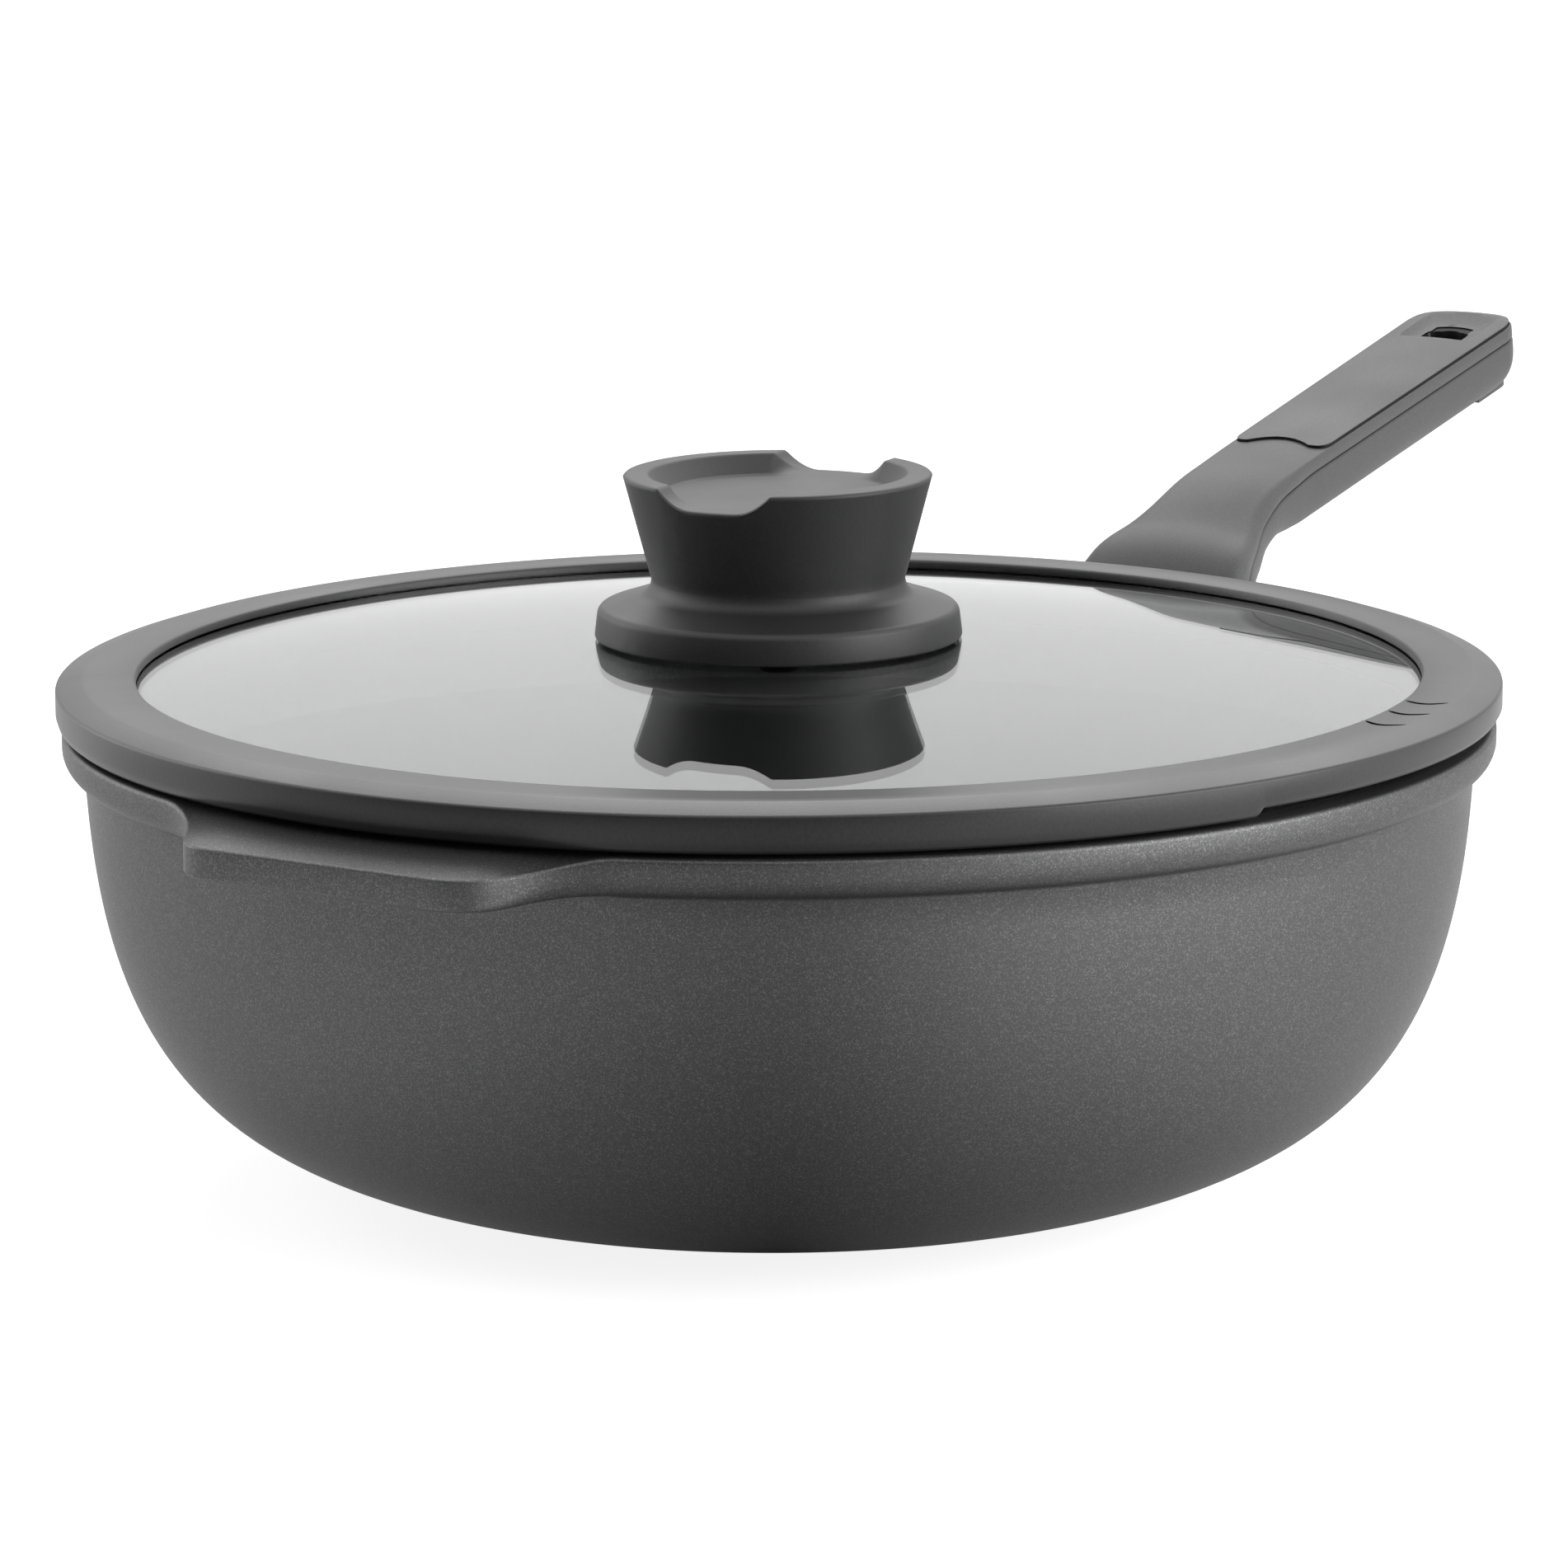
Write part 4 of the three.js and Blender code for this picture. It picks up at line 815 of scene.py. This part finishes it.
# Grip pad
# A lighter silicone pad, moulded by itself and pressed into a pocket in the top of the grip, a little
# proud of the shell, where a thin gap runs all round it. The pad's sides are painted dark as the gap's
# shade.
pad = pad_slab("grip_pad", PAD_THICK, 0.0)
shaped(pad, grip_block("pad_plan", pad_plan(PAD_GAP), -1, 12), "INTERSECT")
shaped(pad, scoop())
shaped(pad, grip_block("hole", hole_plan(), -CUT_THROUGH, CUT_THROUGH))
soft_edges(pad, 0.25)
silicone_pad = Finish("pad silicone", 2000, 35)
pad_tone = silicone_pad.tint(grey(76), grey(88), "Pores")
silicone_pad.colour(silicone_pad.tint(pad_tone, grey(94), "Clouds", 0.4))
silicone_pad.roughness("Clouds", 0.5, 0.62)
silicone_pad.bump("Pores", 0.015)
silicone_pad.set(specular_ior_level=0.35)
pad.data.materials.clear()
pad.data.materials.append(silicone_pad.material)
pad.data.materials.append(gap_shade.material)
# The pad's sides take the painted shade of the gap round it
for face in pad.data.polygons:
    face.material_index = int(on_pad_side(face))
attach(pad, "wok")
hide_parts("handle_pad")

# Handle fixings
# A steel bolt with a washer comes up through the lower shell into the bowl's lug, and two small screws
# pull the shells together. All are set in round wells in the underside.
plated = Finish("plated steel", 2400, 60)
plate_tone = plated.tint((0.5, 0.5, 0.51), (0.62, 0.62, 0.63), "Clouds")
# Lighter edges: partly rubbed wear, partly a painted highlight
plated.colour(plated.tint(plate_tone, (0.75, 0.75, 0.76), "Edge wear and highlight"))
plated.roughness("Clouds", 0.22, 0.36)
plated.set(metallic=1.0)


def pan_head(radius, height, shank, length, seat, socket):
    """A pan-head screw's section, with a round drive socket sunk in the head."""
    low = seat - height
    head = [(0, low + height * 0.55), (socket, low + height * 0.55), (socket, low + 0.1)]
    head += [(socket + 0.1, low), (radius * 0.72, low)]
    head += arc((radius * 0.72, low + height * 0.4), (radius * 0.28, height * 0.4), -90, 0, 6)[1:]
    return head + [(radius, seat), (shank, seat), (shank, seat + length), (0, seat + length)]


bolt_head = BOLT_SEAT - 1.0 - 0.6
bolt = turned_piece("handle_bolt", pan_head(4.6, 3.0, 2.5, 11.8, bolt_head, 2.0), 48, bolt_place)
washer_top = BOLT_SEAT - 0.3
washer_profile = [(2.8, washer_top - 1), (5.2, washer_top - 1), (5.4, washer_top - 0.8), (5.4, washer_top)]
washer_profile += [(2.8, washer_top)]
bolt_washer = turned_piece("handle_bolt_washer", washer_profile, 48, bolt_place)
fixings = [(bolt, "handle_bolt"), (bolt_washer, "handle_bolt_washer")]
for place, end in zip(screw_places, ("front", "rear")):
    profile = pan_head(2.9, 2.0, 1.5, 1.8 - SCREW_SEAT, SCREW_SEAT - 0.3, 1.2)
    fixings.append((turned_piece("shell_screw_" + end, profile, 40, place), "shell_screw_" + end))
for piece, node in fixings:
    piece.data.materials.append(plated.material)
    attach(piece, "wok")
    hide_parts(node)

# Lid rim
# A soft grey silicone ring moulded round the glass. Its skirt laps over the rim of the bowl, a lip
# centres it inside, and a stretch of the underside is cut away as a steam vent.
LID_TURN = math.radians(6)
LID_OUTER = 144.5
LID_INNER = 128.5
LID_TOP = 103.2
SKIRT_LOW = 94.2
SEAT_LOW = 93.5
LIP_OUTER = 135.3
LIP_INNER = 130.9
LIP_LOW = 88.4
SEAT_OUTER = 140.5
SKIRT_INNER = 141.4
DOME_RADIUS = 1000.0
GLASS_RADIUS = LID_INNER + 4.4
GLASS_THICK = 4.0
GLASS_GAP = 0.3


def dome_drop(radius):
    return DOME_RADIUS - math.sqrt(DOME_RADIUS ** 2 - radius ** 2)


GLASS_APEX = LID_TOP - 2.0 + dome_drop(LID_INNER)


def glass_top(radius):
    return GLASS_APEX - dome_drop(radius)


VENT_HALF = math.radians(26.8)
VENT_TURN = math.radians(-87.7)
VENT_TOP = SKIRT_LOW + 1.4


def lid_rim_section(vented):
    """The ring's section, with the underside raised where the vent is."""
    ledge = glass_top(LID_INNER) - GLASS_THICK - GLASS_GAP
    under = ledge - 1.3
    inside = [(LID_INNER + 0.5, LID_TOP), (LID_INNER, LID_TOP - 0.5)]
    inside += [(LID_INNER, glass_top(LID_INNER) + GLASS_GAP)]
    groove = GLASS_RADIUS + GLASS_GAP
    inside += [(groove, glass_top(groove) + GLASS_GAP)]
    inside += [(groove, glass_top(groove) - GLASS_THICK - GLASS_GAP)]
    inside += [(LID_INNER, ledge), (LID_INNER, under)]
    if vented:
        low = min(VENT_TOP, under)
        lip = [(LIP_INNER, low), (LIP_INNER + 0.3, low), (LIP_INNER + 1, low), (LIP_OUTER - 1, low)]
        lip += [(LIP_OUTER - 0.3, low), (LIP_OUTER, low), (SEAT_OUTER, VENT_TOP), (SKIRT_INNER, VENT_TOP)]
        foot = [(LID_OUTER - 2.2, VENT_TOP + 0.1), (LID_OUTER - 0.6, VENT_TOP + 0.4)]
        foot += [(LID_OUTER, VENT_TOP + 1.4)]
    else:
        lip = [(LIP_INNER, SEAT_LOW), (LIP_INNER, LIP_LOW + 1), (LIP_INNER + 1, LIP_LOW)]
        lip += [(LIP_OUTER - 1, LIP_LOW), (LIP_OUTER, LIP_LOW + 1), (LIP_OUTER, SEAT_LOW)]
        lip += [(SEAT_OUTER, SEAT_LOW), (SKIRT_INNER, SKIRT_LOW)]
        foot = [(LID_OUTER - 1.5, SKIRT_LOW), (LID_OUTER - 0.5, SKIRT_LOW + 0.8)]
        foot += [(LID_OUTER, SKIRT_LOW + 2.4)]
    shoulder = [(LID_OUTER, LID_TOP - 2.2), (LID_OUTER - 0.07, LID_TOP - 1.93)]
    shoulder += [(LID_OUTER - 0.28, LID_TOP - 1.72), (LID_OUTER - 0.65, LID_TOP - 1.55)]
    shoulder += [(LID_OUTER - 5.1, LID_TOP - 0.156)]
    shoulder += [(LID_OUTER - 5.6, LID_TOP - 0.04), (LID_OUTER - 6.1, LID_TOP)]
    return inside + lip + foot + shoulder


vent_edge = math.radians(0.25)
rim_turns = [2 * math.pi * i / 400 - math.pi for i in range(400)]
vent_from = VENT_TURN - VENT_HALF
vent_to = VENT_TURN + VENT_HALF
for edge in (vent_from, vent_to):
    rim_turns += [edge - vent_edge, edge + vent_edge]
lid_rows = []
for turn in sorted(rim_turns):
    vented = vent_from < turn < vent_to
    lid_rows.append(turned_row(lid_rim_section(vented), turn + LID_TURN))
lid_ring = grid_piece("lid_ring", lid_rows, around=True, sharp=50)
ring_silicone = Finish("rim silicone", 1600, 22)
ring_tone = ring_silicone.tint(grey(36), grey(46), "Pores")
ring_silicone.colour(ring_silicone.tint(ring_tone, grey(50), "Clouds", 0.3))
ring_silicone.roughness("Clouds", 0.38, 0.46)
ring_silicone.bump("Pores", 0.02)
ring_silicone.set(specular_ior_level=0.42)
lid_ring.data.materials.append(ring_silicone.material)
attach(lid_ring, "lid")
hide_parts("lid_rim")

# Vent marks
# Three short curved grooves moulded into the top of the silicone ring over the vent, to show where the
# steam comes out. Each is drawn as a thin strip on the ring's top, painted dark with the groove's shade.
groove_dark = Finish("groove shadow", 1600, 22)
groove_dark.colour(groove_dark.tint(grey(20), grey(30), "Pores"))
groove_dark.roughness("Clouds", 0.7, 0.8)
groove_dark.set(specular_ior_level=0.0)
MARK_HEADINGS = (-86.6, -81.5, -76.5)
MARK_START = 129.5
MARK_LENGTH = 8.5
MARK_HALF = 0.65
for number, heading in enumerate(MARK_HEADINGS):
    rows = []
    for i in range(17):
        t = i / 16
        radius = MARK_START + MARK_LENGTH * t
        bow = math.sin(math.pi * t)
        a = math.radians(heading - bow)
        width = MARK_HALF * math.sqrt(max(0.02, 1 - (2 * t - 1) ** 4))
        radial = np.array([math.cos(a), math.sin(a)])
        side = np.array([-math.sin(a), math.cos(a)])
        row = []
        for x, z in ((-1, -0.2), (1, -0.2), (1, 0.02), (0, 0.05), (-1, 0.02)):
            spot = radial * radius + side * x * width
            row.append((spot[0], spot[1], LID_TOP + z))
        rows.append(row)
    mark = grid_piece("vent_mark_%d" % (number + 1), rows, around=False)
    mark.data.materials.append(groove_dark.material)
    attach(mark, "lid")

# Lid glass
# A shallow dome of clear tempered glass with ground edges and a hole for the knob, held in the groove
# of the silicone ring.
GLASS_HOLE = 5.5
GLASS_EDGE = 0.6
glass_radii = np.concatenate([[GLASS_HOLE], np.linspace(8, GLASS_RADIUS - GLASS_EDGE, 44)])
glass_profile = [(r, glass_top(r) - GLASS_THICK) for r in glass_radii]
edge_middle = (GLASS_RADIUS - GLASS_EDGE, glass_top(GLASS_RADIUS) - GLASS_THICK / 2)
glass_profile += arc(edge_middle, (GLASS_EDGE, GLASS_THICK / 2 - 0.02), -80, 80, 7)
glass_profile += [(r, glass_top(r)) for r in glass_radii[::-1]]
glass = grid_piece("glass", turned_rows(glass_profile, 320), around=True)
clear = Finish("tempered glass", 900, 14)
clear.colour(clear.tint((0.95, 0.97, 0.965), (0.9, 0.93, 0.925), "Clouds", 0.2))
clear.roughness("Clouds", 0.0, 0.02)
clear.set(ior=1.5, transmission_weight=1.0)
glass.data.materials.append(clear.material)
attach(glass, "lid")
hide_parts("lid_glass")

# Knob
# A soft-touch moulded cup on a round flange. Its top is dished and notched on two sides so that a spoon
# can rest across it.
FLANGE_LOW = GLASS_APEX + 1.1
FLANGE_TOP = FLANGE_LOW + 5.0
KNOB_TOP = FLANGE_LOW + 31.5
KNOB_RADIUS = 31.0
NECK_RADIUS = 25.4
KNOB_FILLET = 3.4
INSERT_RADIUS = 6.3
INSERT_TOP = FLANGE_LOW + 12.3
FLANGE_RADIUS = 36.8
FLANGE_EDGE = 1.8
SKIRT_RADIUS = 33.3
FLANGE_SKIRT = glass_top(SKIRT_RADIUS) + 0.3
DISH_DEPTH = 3.8
DISH_FLOOR = KNOB_TOP - DISH_DEPTH
DISH_EDGE = 26.0
DISH_WALL = 3.6
NOTCH_HALF = 12.5
NOTCH_FLAT = 4.5
NOTCH_SWEEP = 2.3


def knob_section(turn):
    """The cup's section at a turn from the notches' line."""
    def brim(radius):
        across = abs(radius * math.sin(turn))
        up_side = max(0.0, across - NOTCH_FLAT) / (NOTCH_HALF - NOTCH_FLAT)
        return KNOB_TOP - DISH_DEPTH * (1 - min(1.0, up_side) ** NOTCH_SWEEP)
    section = [(0, INSERT_TOP), (INSERT_RADIUS, INSERT_TOP), (INSERT_RADIUS, FLANGE_LOW)]
    section += [(SKIRT_RADIUS, FLANGE_LOW), (SKIRT_RADIUS, FLANGE_SKIRT)]
    section += arc((FLANGE_RADIUS - 0.6, FLANGE_SKIRT + 0.6), (0.6, 0.6), -90, -5, 5)
    section += arc((FLANGE_RADIUS - 2.3, FLANGE_TOP - 1.7), (FLANGE_EDGE, FLANGE_EDGE), 8, 82, 9)
    low = FLANGE_TOP + KNOB_FILLET + 2
    section += [(31.5, FLANGE_TOP + 1.15)]
    section += arc((NECK_RADIUS + KNOB_FILLET, low), (KNOB_FILLET, KNOB_FILLET), 255, 185, 11)
    lip = brim(KNOB_RADIUS)
    slope = (KNOB_RADIUS - NECK_RADIUS) / (KNOB_TOP - low)
    for k in np.linspace(0, 1, 14):
        z = low + (lip - 1.0 - low) * k
        section.append((NECK_RADIUS + slope * (z - low), z))
    edge = NECK_RADIUS + slope * (lip - low)
    section += [(edge - 0.12, lip - 0.5), (edge - 0.45, lip - 0.15)]
    for radius in np.linspace(edge - 0.95, DISH_EDGE + 0.4, 9):
        section.append((radius, brim(radius)))
    for k in np.linspace(0, 1, 12):
        radius = DISH_EDGE - DISH_WALL * k
        section.append((radius, DISH_FLOOR + max(0, brim(radius) - DISH_FLOOR - 0.06) * (1 - k)))
    section += [(DISH_EDGE - DISH_WALL - 0.7, DISH_FLOOR - 0.02), (10.0, DISH_FLOOR - 0.05)]
    section += [(0, DISH_FLOOR - 0.06)]
    return section


knob_rows = []
for i in range(360):
    turn = 2 * math.pi * i / 360
    knob_rows.append(turned_row(knob_section(turn), turn + LID_TURN))
knob = grid_piece("knob", knob_rows, around=True, sharp=60)
knob_soft = Finish("knob soft-touch", 1700, 40)
knob_tone = knob_soft.tint(grey(28), grey(36), "Pores")
# Lighter edges: partly rubbed wear, partly a painted highlight
knob_soft.colour(knob_soft.tint(knob_tone, grey(42), "Edge wear and highlight", 0.6))
knob_soft.roughness("Clouds", 0.5, 0.58)
knob_soft.bump("Pores", 0.015)
knob_soft.set(specular_ior_level=0.5)
knob.data.materials.append(knob_soft.material)
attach(knob, "lid")
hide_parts("knob_body")

# Knob fixings
# A steel screw and washer under the glass pull the knob's brass insert down on a soft gasket, and a
# rubber grommet keeps metal off the glass.
turned_brass = Finish("turned brass", 2400, 60)
turned_brass.colour(turned_brass.tint((0.5, 0.36, 0.13), (0.62, 0.46, 0.2), "Clouds"))
turned_brass.roughness("Pores", 0.25, 0.38)
turned_brass.set(metallic=1.0)
blackened = Finish("blackened steel", 2400, 60)
blackened.colour(blackened.tint(grey(34), grey(46), "Clouds"))
blackened.roughness("Clouds", 0.45, 0.6)
blackened.set(metallic=1.0)
seal = Finish("seal rubber", 1800, 50)
seal.colour(seal.tint(grey(26), grey(36), "Pores"))
seal.roughness("Clouds", 0.55, 0.7)
seal.bump("Pores", 0.015)
for node, finish in (
    ("knob_insert", turned_brass),
    ("knob_gasket", seal),
    ("glass_grommet", seal),
    ("knob_washer", blackened),
    ("knob_screw", blackened),
):
    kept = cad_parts[node]
    kept.data.materials.clear()
    kept.data.materials.append(finish.material)

# Studio
# A pale floor and sky that the camera, gloss and glass see as white, a soft box above and behind, and
# weaker boxes at both sides. In gloss the floor fades in front of the bowl, where the picture is dark.
VIEW_TURN = math.radians(-57)
view_ahead = Vector((-math.sin(VIEW_TURN), math.cos(VIEW_TURN), 0))
view_right = Vector((math.cos(VIEW_TURN), math.sin(VIEW_TURN), 0))
FLOOR_HALF = 12.0
FLOOR_GLOW = 0.86
FADE_ASIDE = 0.15
FADE_AHEAD = 0.3
SKY_LIGHT = 0.3
SKY_SEEN = (1.0, 1.45)
SKY_RISE = (0.05, 0.5)
floor_points = [Vector((x, y, 0)) for x, y in ((-1, -1), (1, -1), (1, 1), (-1, 1))]
floor = mesh_piece("floor", [p * FLOOR_HALF for p in floor_points], [(0, 1, 2, 3)], 30)
paper = bpy.data.materials.new("white paper")
paper.use_nodes = True
paper_tree = paper.node_tree
paper_tree.nodes.clear()
sheet = paper_tree.nodes.new("ShaderNodeBsdfDiffuse")
sheet.inputs["Color"].default_value = (0.5, 0.5, 0.5, 1)
glow = paper_tree.nodes.new("ShaderNodeEmission")
both = paper_tree.nodes.new("ShaderNodeAddShader")
paper_end = paper_tree.nodes.new("ShaderNodeOutputMaterial")


def seen_rays(tree, gloss=None):
    """1 for rays that show the background, straight on or in gloss and glass. Gloss may fade."""
    path = tree.nodes.new("ShaderNodeLightPath")
    total = path.outputs["Is Camera Ray"]
    for label in ("Is Glossy Ray", "Is Transmission Ray"):
        ray = path.outputs[label]
        if gloss:
            fade = tree.nodes.new("ShaderNodeMath")
            fade.operation = "MULTIPLY"
            tree.links.new(ray, fade.inputs[0])
            tree.links.new(gloss, fade.inputs[1])
            ray = fade.outputs["Value"]
        join = tree.nodes.new("ShaderNodeMath")
        join.operation = "MAXIMUM"
        tree.links.new(total, join.inputs[0])
        tree.links.new(ray, join.inputs[1])
        total = join.outputs["Value"]
    return total


floor_glow = range_node(paper_tree, 0, 1, 0, FLOOR_GLOW)
floor_spot = paper_tree.nodes.new("ShaderNodeTexCoord")
floor_fade = paper_tree.nodes.new("ShaderNodeMath")
floor_fade.operation = "MAXIMUM"
for slot, line, high in ((0, view_right, FADE_ASIDE), (1, view_ahead, FADE_AHEAD)):
    along_line = paper_tree.nodes.new("ShaderNodeVectorMath")
    along_line.operation = "DOT_PRODUCT"
    along_line.inputs[1].default_value = line
    paper_tree.links.new(floor_spot.outputs["Object"], along_line.inputs[0])
    measure = along_line.outputs["Value"]
    if slot == 0:
        aside = paper_tree.nodes.new("ShaderNodeMath")
        aside.operation = "ABSOLUTE"
        paper_tree.links.new(measure, aside.inputs[0])
        measure = aside.outputs["Value"]
    step = range_node(paper_tree, 0, high)
    paper_tree.links.new(measure, step.inputs["Value"])
    paper_tree.links.new(step.outputs["Result"], floor_fade.inputs[slot])
paper_tree.links.new(seen_rays(paper_tree, floor_fade.outputs["Value"]), floor_glow.inputs["Value"])
paper_tree.links.new(floor_glow.outputs["Result"], glow.inputs["Strength"])
paper_tree.links.new(sheet.outputs["BSDF"], both.inputs[0])
paper_tree.links.new(glow.outputs["Emission"], both.inputs[1])
paper_tree.links.new(both.outputs["Shader"], paper_end.inputs["Surface"])
floor.data.materials.append(paper)

world = bpy.data.worlds.new("studio")
bpy.context.scene.world = world
world.use_nodes = True
sky_tree = world.node_tree
sky = sky_tree.nodes["Background"]
sky.inputs["Color"].default_value = (1, 1, 1, 1)
sky_level = range_node(sky_tree, 0, 1, SKY_LIGHT, SKY_SEEN[0])
sky_tree.links.new(seen_rays(sky_tree), sky_level.inputs["Value"])
sky_way = sky_tree.nodes.new("ShaderNodeTexCoord")
way_parts = sky_tree.nodes.new("ShaderNodeSeparateXYZ")
rise = range_node(sky_tree, *SKY_RISE, *SKY_SEEN)
rise.interpolation_type = "SMOOTHSTEP"
sky_tree.links.new(sky_way.outputs["Generated"], way_parts.inputs["Vector"])
sky_tree.links.new(way_parts.outputs["Z"], rise.inputs["Value"])
sky_tree.links.new(rise.outputs["Result"], sky_level.inputs["To Max"])
sky_tree.links.new(sky_level.outputs["Result"], sky.inputs["Strength"])


def softbox(name, right, ahead, height, width, depth, watts):
    """A soft lamp placed by the view, aimed at the middle of the bowl."""
    lamp = bpy.data.lights.new(name, "AREA")
    lamp.shape = "RECTANGLE"
    lamp.size = width
    lamp.size_y = depth
    lamp.energy = watts
    holder = bpy.data.objects.new(name, lamp)
    holder.location = view_right * right + view_ahead * ahead + Vector((0, 0, height))
    aim = Vector((0, 0, 0.07)) - holder.location
    holder.rotation_euler = aim.to_track_quat("-Z", "Y").to_euler()
    bpy.context.scene.collection.objects.link(holder)


softbox("top_box", 0.1, 1.1, 1.3, 1.6, 1.0, 15)
softbox("right_box", 1.15, -0.6, 0.45, 1.2, 0.9, 18)
softbox("left_box", -1.4, 0.7, 0.65, 1.2, 1.2, 9)

# Dark card behind the camera, which keeps the studio's white off the near sides
CARD_REACH = 2.2
CARD_HEIGHT = 1.7
CARD_LEFT = -74
CARD_SPAN = 132
CARD_STEPS = 24
card_points = []
for i in range(CARD_STEPS + 1):
    turn = math.radians(CARD_LEFT + CARD_SPAN * i / CARD_STEPS)
    spot = (view_right * math.sin(turn) - view_ahead * math.cos(turn)) * CARD_REACH
    card_points += [spot, spot + Vector((0, 0, CARD_HEIGHT))]
card_faces = [(2 * i, 2 * i + 2, 2 * i + 3, 2 * i + 1) for i in range(CARD_STEPS)]
card = mesh_piece("dark_card", card_points, card_faces, 30)
card.visible_camera = False
felt = bpy.data.materials.new("black felt")
felt.use_nodes = True
felt.node_tree.nodes["Principled BSDF"].inputs["Base Color"].default_value = (0.03, 0.03, 0.03, 1)
felt.node_tree.nodes["Principled BSDF"].inputs["Specular IOR Level"].default_value = 0
card.data.materials.append(felt)

# Camera
# The photograph's view: a long lens, a little above the rim, on the helper handle's side.
CAMERA_DISTANCE = 1.5
CAMERA_RISE = math.radians(11.028)
CAMERA_ROLL = math.radians(-0.339)
camera = bpy.data.objects.new("camera", bpy.data.cameras.new("camera"))
camera.data.sensor_width = 36
camera.data.lens = 171.43
camera.data.shift_x = 0.00302
camera.data.shift_y = -0.02005
camera.data.clip_end = 100
target = Vector((0, 0, RIM_FOOT * MM))
eye = target - view_ahead * CAMERA_DISTANCE * math.cos(CAMERA_RISE)
eye.z += CAMERA_DISTANCE * math.sin(CAMERA_RISE)
look = (target - eye).to_track_quat("-Z", "Y").to_matrix().to_4x4()
camera.matrix_world = Matrix.Translation(eye) @ look @ Matrix.Rotation(CAMERA_ROLL, 4, "Z")
bpy.context.scene.collection.objects.link(camera)
bpy.context.scene.camera = camera
bpy.context.scene.view_settings.view_transform = "Standard"
